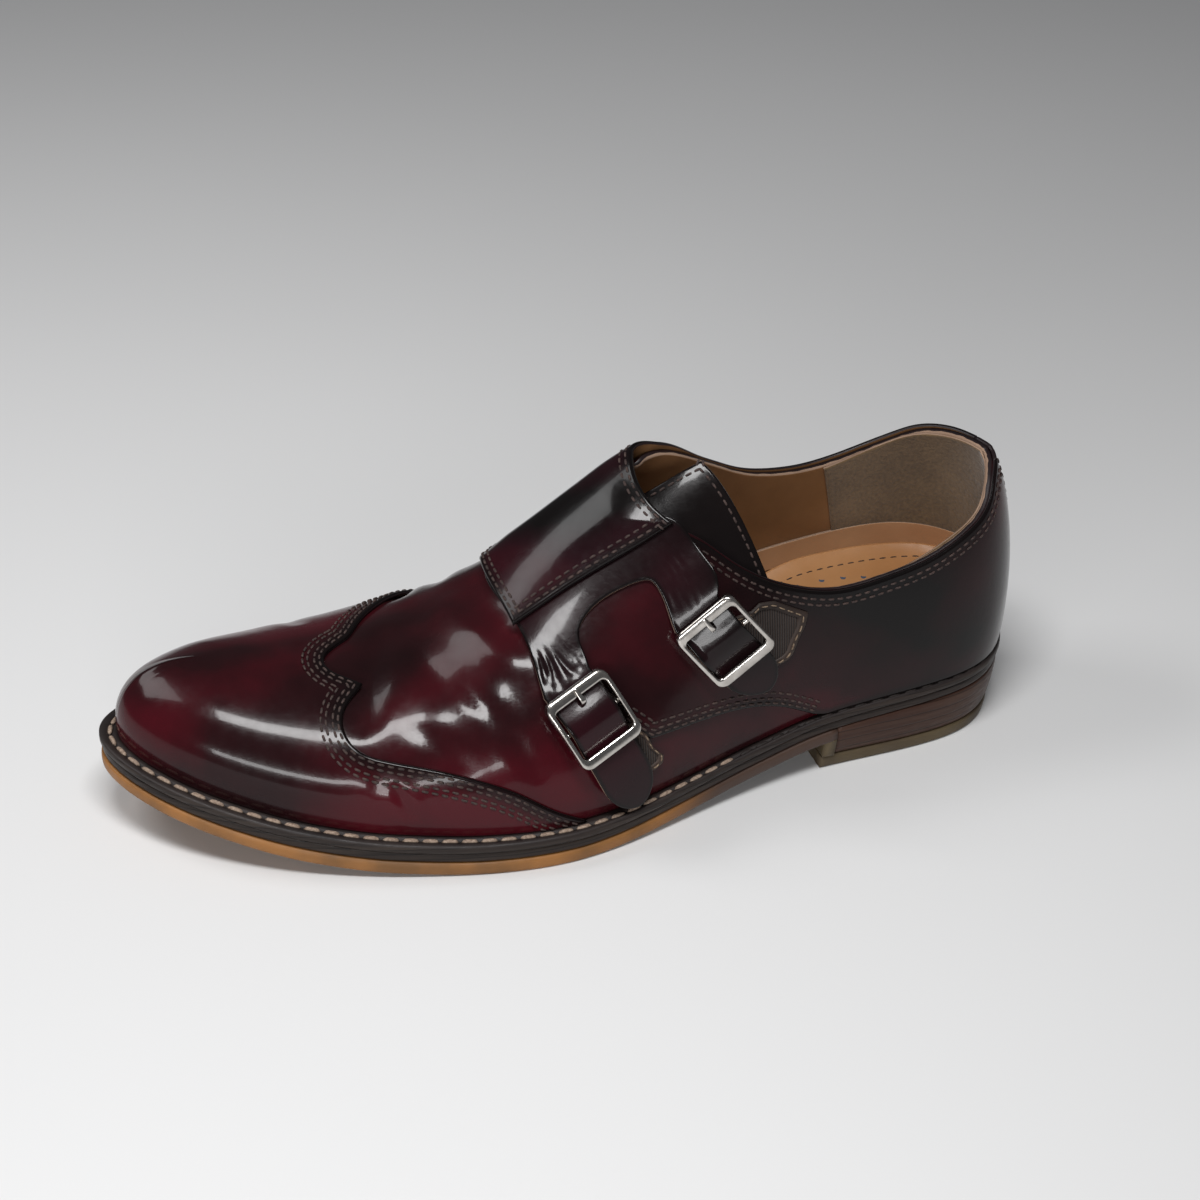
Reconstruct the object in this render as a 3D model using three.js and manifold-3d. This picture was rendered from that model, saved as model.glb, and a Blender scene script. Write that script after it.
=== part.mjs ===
// Double monk strap shoe with a wing-tip toe cap, left foot.
// Millimetres, +Z up, toe towards +X, the outer side of the foot towards +Y.
// The origin ends up under the middle of the shoe, on the plane it stands on.
import * as THREE from 'three';
import Module from 'manifold-3d';
import { mergeVertices } from 'three/addons/utils/BufferGeometryUtils.js';

const wasm = await Module();
wasm.setup();

// Driving sizes
const length = 288;
const ballWidth = 106;
const coneHeight = 93;
const heelHeight = 15;
const toeSpring = 18.5;
const heelLength = 72;

// Sole layers, from the ground up
const outsoleThick = 4.2;
const midsoleThick = 3.2;
const weltThick = 2.7;
const liftThick = 4.5;
const breastThick = 4;
const heelTaper = 2.6;
const liftTaper = 2.1;
const midsoleInset = 0.7;
const outsoleInset = 0.2;
const weltLip = 3.2;

// Leather
const gap = 0.3;
const upperWall = 2;
const capThick = 1.3;
const quarterThick = 1.4;
const strapThick = 1.6;
const flapThick = 1.7;
const tabThick = 0.9;
const tongueThick = 2.2;
const tongueClearance = 0.7;
const insoleThick = 3;
const heelPad = 10;
const insoleClearance = 0.8;
const insoleCup = 4.5;
const backStripWidth = 12;
const backStripThick = 1.2;

// Buckles
const buckleWidth = 21.5;
const buckleLength = 23.5;
const buckleSideBar = 1.5;
const buckleEndBar = 3.4;
const buckleCorner = 3;
const buckleDepth = 3.4;
const buckleBend = 75;
const buckleClearance = 0.95;
const buckleBarThick = 1.5;
const centreBarRadius = 0.8;
const prongWidth = 1.8;
const prongThick = 0.9;
const strapHole = 1.7;
const strapPlay = 1.1;
const strapTipTaper = 12;

// How far the strap is lifted off the quarter: by the tab below it, and by the centre bar
const strapRise = tabThick + gap;
const strapHump = 2 * centreBarRadius + 2.5 * gap;
const humpReach = 5.5;

// Mesh density of the last's surface
const columns = 30;
const rows = 9;

const seatThick = outsoleThick + midsoleThick + weltThick + 2 * gap;

// Outline of the sole: share of the length, then shares of the ball width to each side
const outlineTable = [
  { along: 0, lateral: 0, medial: 0 },
  { along: 0.012, lateral: 0.118, medial: 0.118 },
  { along: 0.049, lateral: 0.231, medial: 0.236 },
  { along: 0.132, lateral: 0.302, medial: 0.302 },
  { along: 0.25, lateral: 0.33, medial: 0.292 },
  { along: 0.403, lateral: 0.424, medial: 0.255 },
  { along: 0.5625, lateral: 0.538, medial: 0.387 },
  { along: 0.694, lateral: 0.5, medial: 0.46 },
  { along: 0.826, lateral: 0.396, medial: 0.41 },
  { along: 0.917, lateral: 0.269, medial: 0.305 },
  { along: 0.976, lateral: 0.123, medial: 0.184 },
  { along: 1, lateral: -0.038, medial: 0.038 },
];

// Underside of the sole line: share of the length, then shares of heel height and toe spring
const undersideTable = [
  { along: 0, heel: 1, toe: 0 },
  { along: 0.139, heel: 0.88, toe: 0 },
  { along: 0.25, heel: 0.707, toe: 0 },
  { along: 0.33, heel: 0.44, toe: 0 },
  { along: 0.417, heel: 0.187, toe: 0 },
  { along: 0.503, heel: 0.033, toe: 0 },
  { along: 0.549, heel: 0, toe: 0 },
  { along: 0.639, heel: 0, toe: 0 },
  { along: 0.729, heel: 0, toe: 0.07 },
  { along: 0.816, heel: 0, toe: 0.26 },
  { along: 0.903, heel: 0, toe: 0.573 },
  { along: 1, heel: 0, toe: 1 },
];

// Welt showing outside the upper: share of the length, then millimetres
const weltTable = [
  { along: 0, show: 2.2 },
  { along: 0.25, show: 2.6 },
  { along: 0.417, show: 3.2 },
  { along: 0.573, show: 5.5 },
  { along: 0.694, show: 6.5 },
  { along: 1, show: 7 },
];

// Top line of the last: share of the length, share of the cone height over the insole seat,
// and share of the ball width towards the outer side
const ridgeTable = [
  { along: 0.09, rise: 0.873, side: 0 },
  { along: 0.208, rise: 0.963, side: 0 },
  { along: 0.34, rise: 1, side: -0.012 },
  { along: 0.389, rise: 0.967, side: -0.02 },
  { along: 0.434, rise: 0.904, side: -0.034 },
  { along: 0.486, rise: 0.8, side: -0.042 },
  { along: 0.538, rise: 0.69, side: -0.048 },
  { along: 0.59, rise: 0.581, side: -0.052 },
  { along: 0.642, rise: 0.492, side: -0.05 },
  { along: 0.694, rise: 0.427, side: -0.048 },
  { along: 0.747, rise: 0.385, side: -0.046 },
  { along: 0.799, rise: 0.361, side: -0.045 },
  { along: 0.851, rise: 0.341, side: -0.044 },
  { along: 0.896, rise: 0.306, side: -0.044 },
];

// Cross-sections of the last on each side, by the share walked from heel to toe: outward bulge
// as a share of the ball width, then how far the lower and the upper handle of the curve reach
const sectionTable = {
  lateral: [
    { at: 0, bulge: 0.038, low: 0.5, high: 0.62 },
    { at: 0.12, bulge: 0.042, low: 0.5, high: 0.66 },
    { at: 0.25, bulge: 0.038, low: 0.45, high: 0.62 },
    { at: 0.38, bulge: 0.019, low: 0.42, high: 0.5 },
    { at: 0.5, bulge: 0.01, low: 0.42, high: 0.45 },
    { at: 0.62, bulge: 0.028, low: 0.52, high: 0.56 },
    { at: 0.75, bulge: 0.028, low: 0.6, high: 0.6 },
    { at: 0.88, bulge: 0.028, low: 0.7, high: 0.62 },
    { at: 1, bulge: 0.024, low: 0.75, high: 0.6 },
  ],
  medial: [
    { at: 0, bulge: 0.038, low: 0.5, high: 0.62 },
    { at: 0.12, bulge: 0.038, low: 0.5, high: 0.66 },
    { at: 0.25, bulge: 0.028, low: 0.45, high: 0.62 },
    { at: 0.38, bulge: 0.019, low: 0.46, high: 0.48 },
    { at: 0.5, bulge: 0.019, low: 0.46, high: 0.46 },
    { at: 0.62, bulge: 0.028, low: 0.52, high: 0.56 },
    { at: 0.75, bulge: 0.028, low: 0.58, high: 0.62 },
    { at: 0.88, bulge: 0.024, low: 0.66, high: 0.62 },
    { at: 1, bulge: 0.024, low: 0.75, high: 0.6 },
  ],
};

// Lines drawn on the side of the shoe: shares of the length and, upwards, of the height between
// the insole seat at the ball and the top of the cone
const topline = {
  lateral: [
    [-0.05, 0.84], [0.03, 0.83], [0.052, 0.775], [0.07, 0.718], [0.1, 0.675], [0.149, 0.62],
    [0.196, 0.59], [0.242, 0.575], [0.287, 0.6], [0.33, 0.655], [0.372, 0.742], [0.41, 0.81],
    [0.44, 0.828], [0.5, 0.81],
  ],
  medial: [
    [-0.05, 0.84], [0.033, 0.835], [0.052, 0.845], [0.069, 0.842], [0.103, 0.8], [0.143, 0.74],
    [0.178, 0.705], [0.214, 0.69], [0.264, 0.71], [0.316, 0.785], [0.344, 0.84], [0.385, 0.935],
    [0.413, 0.985], [0.44, 1.02], [0.5, 1.02],
  ],
};

// Where the inner side's lining leaves its top line to end under the flap
const liningEnd = {
  from: 0.32,
  line: [[0.35, 0.85], [0.385, 0.915], [0.413, 0.94], [0.435, 0.935], [0.45, 0.91], [0.5, 0.87]],
};
const archSeam = [
  [0.25, 0.08], [0.262, 0.12], [0.283, 0.16], [0.32, 0.212], [0.358, 0.235], [0.403, 0.238],
  [0.465, 0.232],
];
const lateralFront = [
  [0.497, 0.315], [0.531, 0.434], [0.556, 0.53], [0.566, 0.6], [0.521, 0.68], [0.465, 0.76],
  [0.41, 0.86],
];
const medialFront = [
  [0.487, 0.3], [0.503, 0.4], [0.535, 0.5], [0.566, 0.58], [0.59, 0.65], [0.603, 0.75],
];
const flapEdge = {
  lateralRear: [0.421, 0.858],
  lateralFront: [0.591, 0.581],
  topFront: [0.603, 0.67],
  rear: [
    [0.428, 0.873], [0.437, 0.897], [0.444, 0.927], [0.446, 0.965], [0.442, 0.984], [0.425, 1.01],
  ],
};
// The strap piece under the flap, without its two legs
const strapYoke = [
  [0.596, 0.66], [0.591, 0.59], [0.58, 0.53], [0.53, 0.53], [0.528, 0.554], [0.521, 0.598],
  [0.5, 0.646], [0.485, 0.669], [0.461, 0.696], [0.45, 0.698], [0.445, 0.684], [0.433, 0.622],
  [0.387, 0.717], [0.394, 0.767], [0.405, 0.817], [0.412, 0.845], [0.431, 0.88], [0.486, 0.84],
  [0.556, 0.74],
];
const upperTab = [
  [0.346, 0.569], [0.337, 0.59], [0.319, 0.586], [0.281, 0.525], [0.284, 0.482], [0.292, 0.444],
  [0.305, 0.374], [0.37, 0.42], [0.39, 0.5], [0.39, 0.57],
];
const lowerTab = [
  [0.505, 0.38], [0.472, 0.26], [0.463, 0.211], [0.451, 0.169], [0.452, 0.145], [0.463, 0.128],
  [0.49, 0.15], [0.53, 0.3],
];

// Rear edge of the toe cap seen from above, in two arms that meet at the peak: share of the
// length, share of the ball width
const wing = {
  lateral: [
    [0.53, 0.58], [0.545, 0.525], [0.569, 0.504], [0.609, 0.487], [0.647, 0.453], [0.685, 0.414],
    [0.723, 0.375], [0.758, 0.327], [0.769, 0.278], [0.767, 0.229], [0.753, 0.184], [0.741, 0.145],
  ],
  medial: [
    [0.741, 0.145], [0.754, 0.109], [0.77, 0.063], [0.773, 0.038], [0.769, 0.011], [0.758, -0.023],
    [0.741, -0.055], [0.712, -0.12], [0.68, -0.19], [0.65, -0.26], [0.61, -0.35], [0.565, -0.46],
  ],
};

// Buckles: where they sit on the outer side of the last, as shares of its walk and height, the
// way the strap runs through them, as shares of along and up, how far they stand off towards
// the heel, in degrees, the strap's tip beyond their middle, and the side-view place under the
// flap from which the strap's leg starts
const buckles = {
  lower: { walk: 0.533, height: 0.336, run: [-0.394, -0.919], twist: 0, tip: 32, root: [0.57, 0.6] },
  upper: { walk: 0.389, height: 0.361, run: [-0.6, -0.8], twist: 17, tip: 24, root: [0.45, 0.74] },
};

// The tongue: shares of the walk, and its place across the last, where 0 is the outer feather
// line, 1 the ridge and 2 the inner feather line
const tongue = {
  front: 0.6, rearLateral: 0.325, rearMedial: 0.372, low: 0.4, highFront: 1.3, highRear: 0.85,
};

// Smooth monotone curve through a table's column
function follow(table, key, column, value) {
  const last = table.length - 1;
  const x = Math.min(Math.max(value, table[0][key]), table[last][key]);
  const rise = (i) => (table[i + 1][column] - table[i][column]) / (table[i + 1][key] - table[i][key]);
  const slope = (i) => {
    if (i === 0) return rise(0);
    if (i === last) return rise(last - 1);
    const before = rise(i - 1);
    const after = rise(i);
    return before * after > 0 ? (2 * before * after) / (before + after) : 0;
  };
  let i = 0;
  while (i < last - 1 && x > table[i + 1][key]) i += 1;
  const span = table[i + 1][key] - table[i][key];
  const t = (x - table[i][key]) / span;
  return (2 * t ** 3 - 3 * t ** 2 + 1) * table[i][column] + (t ** 3 - 2 * t ** 2 + t) * span * slope(i)
    + (3 * t ** 2 - 2 * t ** 3) * table[i + 1][column] + (t ** 3 - t ** 2) * span * slope(i + 1);
}

// Cubic spline through values at the given knots, with set slopes at both ends
function cubicSpline(knots, values, startSlope, endSlope) {
  const n = knots.length;
  const low = new Array(n).fill(0);
  const mid = new Array(n).fill(1);
  const high = new Array(n).fill(0);
  const right = new Array(n).fill(0);
  right[0] = startSlope;
  right[n - 1] = endSlope;
  for (let i = 1; i < n - 1; i += 1) {
    const before = knots[i] - knots[i - 1];
    const after = knots[i + 1] - knots[i];
    low[i] = after;
    mid[i] = 2 * (before + after);
    high[i] = before;
    const rises = [(values[i] - values[i - 1]) / before, (values[i + 1] - values[i]) / after];
    right[i] = 3 * (after * rises[0] + before * rises[1]);
  }
  for (let i = 1; i < n; i += 1) {
    const factor = low[i] / mid[i - 1];
    mid[i] -= factor * high[i - 1];
    right[i] -= factor * right[i - 1];
  }
  const slopes = new Array(n);
  slopes[n - 1] = right[n - 1] / mid[n - 1];
  for (let i = n - 2; i >= 0; i -= 1) slopes[i] = (right[i] - high[i] * slopes[i + 1]) / mid[i];
  return (x) => {
    let i = 0;
    while (i < n - 2 && x > knots[i + 1]) i += 1;
    const span = knots[i + 1] - knots[i];
    const t = (x - knots[i]) / span;
    return (2 * t ** 3 - 3 * t ** 2 + 1) * values[i] + (t ** 3 - 2 * t ** 2 + t) * span * slopes[i]
      + (3 * t ** 2 - 2 * t ** 3) * values[i + 1] + (t ** 3 - t ** 2) * span * slopes[i + 1];
  };
}

// Line through points, sampled again at equal steps of its own length
function evenly(points, count) {
  const walked = [0];
  for (let i = 1; i < points.length; i += 1) {
    walked.push(walked[i - 1] + points[i].distanceTo(points[i - 1]));
  }
  const total = walked[walked.length - 1];
  const result = [];
  let i = 0;
  for (let k = 0; k < count; k += 1) {
    const target = (total * k) / (count - 1);
    while (i < points.length - 2 && walked[i + 1] < target) i += 1;
    const t = (target - walked[i]) / (walked[i + 1] - walked[i]);
    result.push(points[i].clone().lerp(points[i + 1], Math.min(t, 1)));
  }
  return result;
}

const outlineSamples = 241;
const finer = 6;

// One side of the sole's outline, from the back of the heel to the tip of the toe
function outlineSide(side) {
  const sign = side === 'lateral' ? 1 : -1;
  const xs = outlineTable.map((row) => row.along * length);
  const ys = outlineTable.map((row) => sign * row[side] * ballWidth);
  const knots = [0];
  for (let i = 1; i < xs.length; i += 1) {
    knots.push(knots[i - 1] + Math.hypot(xs[i] - xs[i - 1], ys[i] - ys[i - 1]));
  }
  const along = cubicSpline(knots, xs, 0, 0);
  const across = cubicSpline(knots, ys, sign, -sign);
  const total = knots[knots.length - 1];
  const points = [];
  for (let k = 0; k <= finer * outlineSamples; k += 1) {
    const t = (total * k) / (finer * outlineSamples);
    points.push(new THREE.Vector2(along(t), across(t)));
  }
  return evenly(points, outlineSamples);
}

const outline = { lateral: outlineSide('lateral'), medial: outlineSide('medial') };

// The outline moved inwards by a width that may change along the shoe
function inset(side, widthAt) {
  const sign = side === 'lateral' ? 1 : -1;
  const points = outline[side];
  const moved = points.map((point, i) => {
    const before = points[Math.max(i - 1, 0)];
    const after = points[Math.min(i + 1, points.length - 1)];
    const tangent = after.clone().sub(before).normalize();
    const inward = new THREE.Vector2(tangent.y, -tangent.x).multiplyScalar(sign);
    return point.clone().addScaledVector(inward, widthAt(point.x));
  });
  moved[0].y = outline[side][0].y;
  moved[points.length - 1].y = outline[side][points.length - 1].y;
  return evenly(moved, outlineSamples);
}

const weltShow = (x) => follow(weltTable, 'along', 'show', x / length);
const feather = { lateral: inset('lateral', weltShow), medial: inset('medial', weltShow) };

// Height of the sole's underside and of the seat that the upper stands on
function underside(x) {
  const share = x / length;
  return heelHeight * follow(undersideTable, 'along', 'heel', share)
    + toeSpring * follow(undersideTable, 'along', 'toe', share);
}
const seat = (x) => underside(x) + seatThick;

const ridgeStart = ridgeTable[0].along;
const ridgeEnd = ridgeTable[ridgeTable.length - 1].along;

// Top line of the last at a share of its walk
function ridgePoint(walk) {
  const at = (share) => {
    const position = share * (outlineSamples - 1);
    const i = Math.min(Math.floor(position), outlineSamples - 2);
    const mix = position - i;
    const x = (side) => feather[side][i].x * (1 - mix) + feather[side][i + 1].x * mix;
    return (x('lateral') + x('medial')) / 2;
  };
  const share = ridgeStart + ((ridgeEnd - ridgeStart) * (at(walk) - at(0))) / (at(1) - at(0));
  const x = share * length;
  const height = (value) => seat(value * length) + coneHeight * follow(ridgeTable, 'along', 'rise', value);
  const step = 0.002;
  return {
    point: new THREE.Vector3(x, ballWidth * follow(ridgeTable, 'along', 'side', share), height(share)),
    slope: (height(share + step) - height(share - step)) / (2 * step * length),
  };
}

// A point of the last: the walk goes from heel to toe along the feather line of one side, and
// the height from the feather line (0) to the ridge (1), over a curve with two handles
function lastPoint(side, walk, height) {
  const position = Math.min(Math.max(walk, 0), 1) * (outlineSamples - 1);
  const i = Math.min(Math.floor(position), outlineSamples - 2);
  const foot = feather[side][i].clone().lerp(feather[side][i + 1], position - i);
  const footHeight = seat(foot.x);
  const ridge = ridgePoint(Math.min(Math.max(walk, 0), 1));
  const table = sectionTable[side];
  const bulge = ballWidth * follow(table, 'at', 'bulge', walk);
  const low = follow(table, 'at', 'low', walk);
  const high = follow(table, 'at', 'high', walk);
  const reachX = foot.x - ridge.point.x;
  const reachY = foot.y - ridge.point.y;
  const t = Math.min(Math.max(height, 0), 1);
  const weights = [(1 - t) ** 3, 3 * (1 - t) ** 2 * t, 3 * (1 - t) * t ** 2, t ** 3];
  const out = weights[0] + weights[1] * (1 + bulge / Math.hypot(reachX, reachY)) + weights[2] * high;
  const up = weights[1] * low + weights[2] + weights[3];
  const lean = reachX * ridge.slope * out * Math.max(1 - out, 0);
  return new THREE.Vector3(
    ridge.point.x + out * reachX,
    ridge.point.y + out * reachY,
    footHeight + up * (ridge.point.z - footHeight) + lean,
  );
}

const other = { lateral: 'medial', medial: 'lateral' };

// Outward direction of the last's surface, averaged where the two sides meet
function lastNormal(side, walk, height) {
  const one = (which) => {
    const step = 0.01;
    const alongLow = lastPoint(which, Math.max(walk - step, 0), height);
    const alongHigh = lastPoint(which, Math.min(walk + step, 1), height);
    const upLow = lastPoint(which, walk, Math.max(height - step, 0));
    const upHigh = lastPoint(which, walk, Math.min(height + step, 1));
    const normal = upHigh.sub(upLow).cross(alongHigh.sub(alongLow)).normalize();
    return which === 'lateral' ? normal : normal.negate();
  };
  const normal = one(side);
  const onSeam = walk < 1e-6 || walk > 1 - 1e-6 || height > 1 - 1e-6;
  if (onSeam) normal.add(one(other[side]));
  if (height < 1e-6) normal.z = 0;
  return normal.normalize();
}

function offLast(side, walk, height, distance) {
  return lastPoint(side, walk, height).addScaledVector(lastNormal(side, walk, height), distance);
}

// Geometry with only positions, its shared vertices merged and its flat triangles dropped
function welded(positions) {
  const loose = new THREE.BufferGeometry();
  loose.setAttribute('position', new THREE.Float32BufferAttribute(positions, 3));
  const merged = mergeVertices(loose, 1e-3);
  const index = merged.index.array;
  const kept = [];
  for (let i = 0; i < index.length; i += 3) {
    const [a, b, c] = [index[i], index[i + 1], index[i + 2]];
    if (a !== b && b !== c && c !== a) kept.push(a, b, c);
  }
  merged.setIndex(kept);
  return merged;
}

function toSolid(geometry) {
  const plain = geometry.clone();
  plain.deleteAttribute('normal');
  plain.deleteAttribute('uv');
  const merged = mergeVertices(plain, 1e-4);
  return new wasm.Manifold(new wasm.Mesh({
    numProp: 3,
    vertProperties: new Float32Array(merged.attributes.position.array),
    triVerts: new Uint32Array(merged.index.array),
  }));
}

function toGeometry(solid) {
  const mesh = solid.getMesh();
  const geometry = new THREE.BufferGeometry();
  geometry.setAttribute('position', new THREE.BufferAttribute(new Float32Array(mesh.vertProperties), 3));
  geometry.setIndex(new THREE.BufferAttribute(new Uint32Array(mesh.triVerts), 1));
  return geometry;
}

// Solid between two grids of points. The first grid faces out. Open edges get a rim, except the
// ends of a grid that closes on itself and a top edge whose two halves lie on each other
function between(outer, inner, { closed = false, joinedTop = false } = {}) {
  const positions = [];
  const triangle = (a, b, c) => positions.push(a.x, a.y, a.z, b.x, b.y, b.z, c.x, c.y, c.z);
  const quad = (a, b, c, d) => {
    triangle(a, b, c);
    triangle(a, c, d);
  };
  const wide = outer.length - 1;
  const tall = outer[0].length - 1;
  for (let i = 0; i < wide; i += 1) {
    for (let j = 0; j < tall; j += 1) {
      quad(outer[i][j], outer[i + 1][j], outer[i + 1][j + 1], outer[i][j + 1]);
      quad(inner[i][j], inner[i][j + 1], inner[i + 1][j + 1], inner[i + 1][j]);
    }
    quad(inner[i][0], inner[i + 1][0], outer[i + 1][0], outer[i][0]);
    if (!joinedTop) quad(outer[i][tall], outer[i + 1][tall], inner[i + 1][tall], inner[i][tall]);
  }
  if (!closed) {
    for (let j = 0; j < tall; j += 1) {
      quad(inner[0][j], outer[0][j], outer[0][j + 1], inner[0][j + 1]);
      quad(outer[wide][j], inner[wide][j], inner[wide][j + 1], outer[wide][j + 1]);
    }
  }
  return toSolid(welded(positions));
}

// Stations around the last: out along the inner side from heel to toe and back along the outer
function aroundLast(pick) {
  const grid = [];
  for (let i = 0; i <= 2 * columns; i += 1) {
    const side = i <= columns ? 'medial' : 'lateral';
    const walk = (i <= columns ? i : 2 * columns - i) / columns;
    const column = [];
    for (let j = 0; j <= rows; j += 1) column.push(pick(side, walk, j / rows));
    grid.push(column);
  }
  return grid;
}

// Shell over the whole last between two distances from it, each a number or a function of place
function lastShell(from, to) {
  const value = (distance, side, walk, height) => {
    return typeof distance === 'function' ? distance(side, walk, height) : distance;
  };
  const at = (distance) => (side, walk, height) => {
    const point = offLast(side, walk, height, value(distance, side, walk, height));
    const climb = Math.max(seat(point.x) - seat(lastPoint(side, walk, height).x), 0);
    point.z += (gap + climb) * (1 - height);
    return point;
  };
  return between(aroundLast(at(to)), aroundLast(at(from)), { closed: true, joinedTop: true });
}

// Finer sheet over a part of the outer side only, between two distances from the last
const fineColumns = 24;
const fineRows = 16;
const fineWalk = [0.27, 0.64];
const fineHeight = 0.95;

function finePatch(from, to) {
  const grid = (distance) => {
    const result = [];
    for (let i = fineColumns; i >= 0; i -= 1) {
      const walk = fineWalk[0] + ((fineWalk[1] - fineWalk[0]) * i) / fineColumns;
      const column = [];
      for (let j = 0; j <= fineRows; j += 1) {
        const height = (fineHeight * j) / fineRows;
        column.push(offLast('lateral', walk, height, distance('lateral', walk, height)));
      }
      result.push(column);
    }
    return result;
  };
  return between(grid(to), grid(from));
}

// Sizes of the side view: heights are shares of the cone height over the seat at the ball
const sideX = (share) => share * length;
const sideZ = (share) => seatThick + share * coneHeight;
const farOut = 90;

// Prism through the shoe over an outline in the side view, between two distances across
function sidePrism(points, fromY, toY) {
  const corners = points.map(([along, up]) => new THREE.Vector2(sideX(along), sideZ(up)));
  const shape = new THREE.Shape(corners);
  const geometry = new THREE.ExtrudeGeometry(shape, { depth: toY - fromY, bevelEnabled: false, steps: 1 });
  geometry.rotateX(Math.PI / 2);
  geometry.translate(0, toY, 0);
  return toSolid(geometry);
}

// A rounder run of points through a short list of them
function rounded(points, perSpan = 3) {
  const corners = points.map(([x, y]) => new THREE.Vector3(x, y, 0));
  const curve = new THREE.CatmullRomCurve3(corners, false, 'centripetal');
  return curve.getPoints(perSpan * (points.length - 1)).map((point) => [point.x, point.y]);
}

// Ends of the regions that are cut out of the last's shells, well clear of the shoe, as shares
const above = 1.6;
const below = -0.6;
const behind = -0.1;
const ahead = 1.1;
const beside = 0.8;

// Region over a line in the side view
const overLine = (line) => [...line, [line.at(-1)[0], above], [line[0][0], above]];

// What is cut away over the collar: higher on the inner side than on the outer
function collarCut() {
  const outer = sidePrism(overLine(rounded(topline.lateral)), 0, farOut);
  const beforeFlap = topline.medial.filter(([along]) => along < liningEnd.from);
  const inner = sidePrism(overLine(rounded([...beforeFlap, ...liningEnd.line])), -farOut, 0);
  return outer.add(inner);
}
const collar = collarCut();

function upper() {
  return lastShell(-upperWall, 0).subtract(collar);
}

// Prism upwards over an outline seen from above
function topPrism(points) {
  const corners = points.map(([along, across]) => new THREE.Vector2(sideX(along), across * ballWidth));
  const shape = new THREE.Shape(corners);
  return toSolid(new THREE.ExtrudeGeometry(shape, { depth: 2 * coneHeight, bevelEnabled: false, steps: 1 }));
}

function toeCap() {
  const outerArm = rounded(wing.lateral);
  const innerArm = rounded(wing.medial);
  const region = [
    ...outerArm, ...innerArm.slice(1), [innerArm.at(-1)[0], -beside], [ahead, -beside],
    [ahead, beside], [outerArm[0][0], beside],
  ];
  return lastShell(gap, gap + capThick).intersect(topPrism(region));
}

// Region of a quarter in the side view: from the heel to the arch seam and up its front edge
function quarterRegion(front) {
  return [
    [behind, below], [archSeam[0][0], below], ...rounded(archSeam), ...rounded(front),
    [front.at(-1)[0], above], [behind, above],
  ];
}

function lateralQuarter() {
  const region = quarterRegion(lateralFront);
  const panel = lastShell(gap, gap + quarterThick).intersect(sidePrism(region, gap / 2, farOut));
  return panel.subtract(collar).subtract(backBand(backStripWidth + 2 * gap));
}

// Upright band over the heel's seam, as far ahead as the share backReach
const backReach = 0.1;

function backBand(width) {
  return toSolid(new THREE.BoxGeometry(2 * backReach * length, width, 4 * coneHeight));
}

// Shares of the walk between which the flap's lift sets in behind the straps and ahead of them
const liftBehind = [0.3, 0.41];
const liftAhead = [0.65, 0.8];

// Way across the last over which the lift fades out: 1 is the ridge, 2 the inner feather line
const liftAcross = [0.97, 1.17];

// Distance of the flap off the last: against it on the inner side, over the strap on the outer
function flapBase(side, walk, height) {
  const across = side === 'lateral' ? height : 2 - height;
  const setIn = THREE.MathUtils.smoothstep(walk, ...liftBehind);
  const fadeAhead = 1 - THREE.MathUtils.smoothstep(walk, ...liftAhead);
  const fadeAcross = 1 - THREE.MathUtils.smoothstep(across, ...liftAcross);
  return gap + setIn * fadeAhead * fadeAcross * (3 * gap + quarterThick + strapThick);
}

// Where the flap's outer region takes over from the quarter's, and how far over the middle the
// inner top line is cut, as shares of the ball width
const flapTurn = -0.03;
const toplineOver = 0.12;

function medialQuarterWithFlap() {
  const { lateralRear, lateralFront, topFront, rear } = flapEdge;
  const [rearEnd] = rear.at(-1);
  const outer = [
    lateralRear, lateralFront, topFront, [topFront[0], above], [rearEnd, above], ...[...rear].reverse(),
  ];
  const middle = flapTurn * ballWidth;
  const inner = sidePrism(quarterRegion(medialFront), -farOut, middle + gap);
  const line = rounded(topline.medial).filter(([along]) => along < rearEnd);
  return lastShell(flapBase, (...place) => flapBase(...place) + flapThick)
    .intersect(inner.add(sidePrism(outer, middle, farOut)))
    .subtract(backBand(backStripWidth + 2 * gap))
    .subtract(sidePrism(overLine([...line, [rearEnd, line.at(-1)[1]]]), -farOut, toplineOver * ballWidth));
}

function backStrip() {
  return lastShell(gap, gap + backStripThick).intersect(backBand(backStripWidth)).subtract(collar);
}

const halfStrap = (buckleWidth - 2 * buckleSideBar) / 2 - strapPlay;

// Frame of reference of a buckle: its foot on the last, its middle, the way its strap runs,
// across it towards the toe, and outwards. A twisted one stands off the last at its heel side
function bucklePlace({ walk, height, run, twist, tip, root }) {
  const foot = lastPoint('lateral', walk, height);
  const flatOut = lastNormal('lateral', walk, height);
  const along = new THREE.Vector3(run[0], 0, run[1]);
  along.addScaledVector(flatOut, -along.dot(flatOut)).normalize();
  const turn = THREE.MathUtils.degToRad(twist);
  const out = flatOut.clone().applyAxisAngle(along, turn);
  const across = new THREE.Vector3().crossVectors(along, out);
  const centre = foot.clone().addScaledVector(flatOut, halfStrap * Math.tan(turn));
  const rise = (sideZ(root[1]) - foot.z) * along.z + (sideX(root[0]) - foot.x) * along.x;
  const start = rise / (along.x ** 2 + along.z ** 2);
  return { foot, centre, out, along, across, slope: Math.tan(turn), tip, start };
}
const places = { lower: bucklePlace(buckles.lower), upper: bucklePlace(buckles.upper) };

// Shares of the buckle's length, ahead of its middle, between which the strap climbs over the
// tab, and between which it turns into a twisted buckle; then how far across the strap, in half
// widths, it goes on lifting
const climbAlong = [-0.8, -0.4];
const twistAlong = [-1.1, -0.5];
const twistAcross = 2.4;

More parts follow.
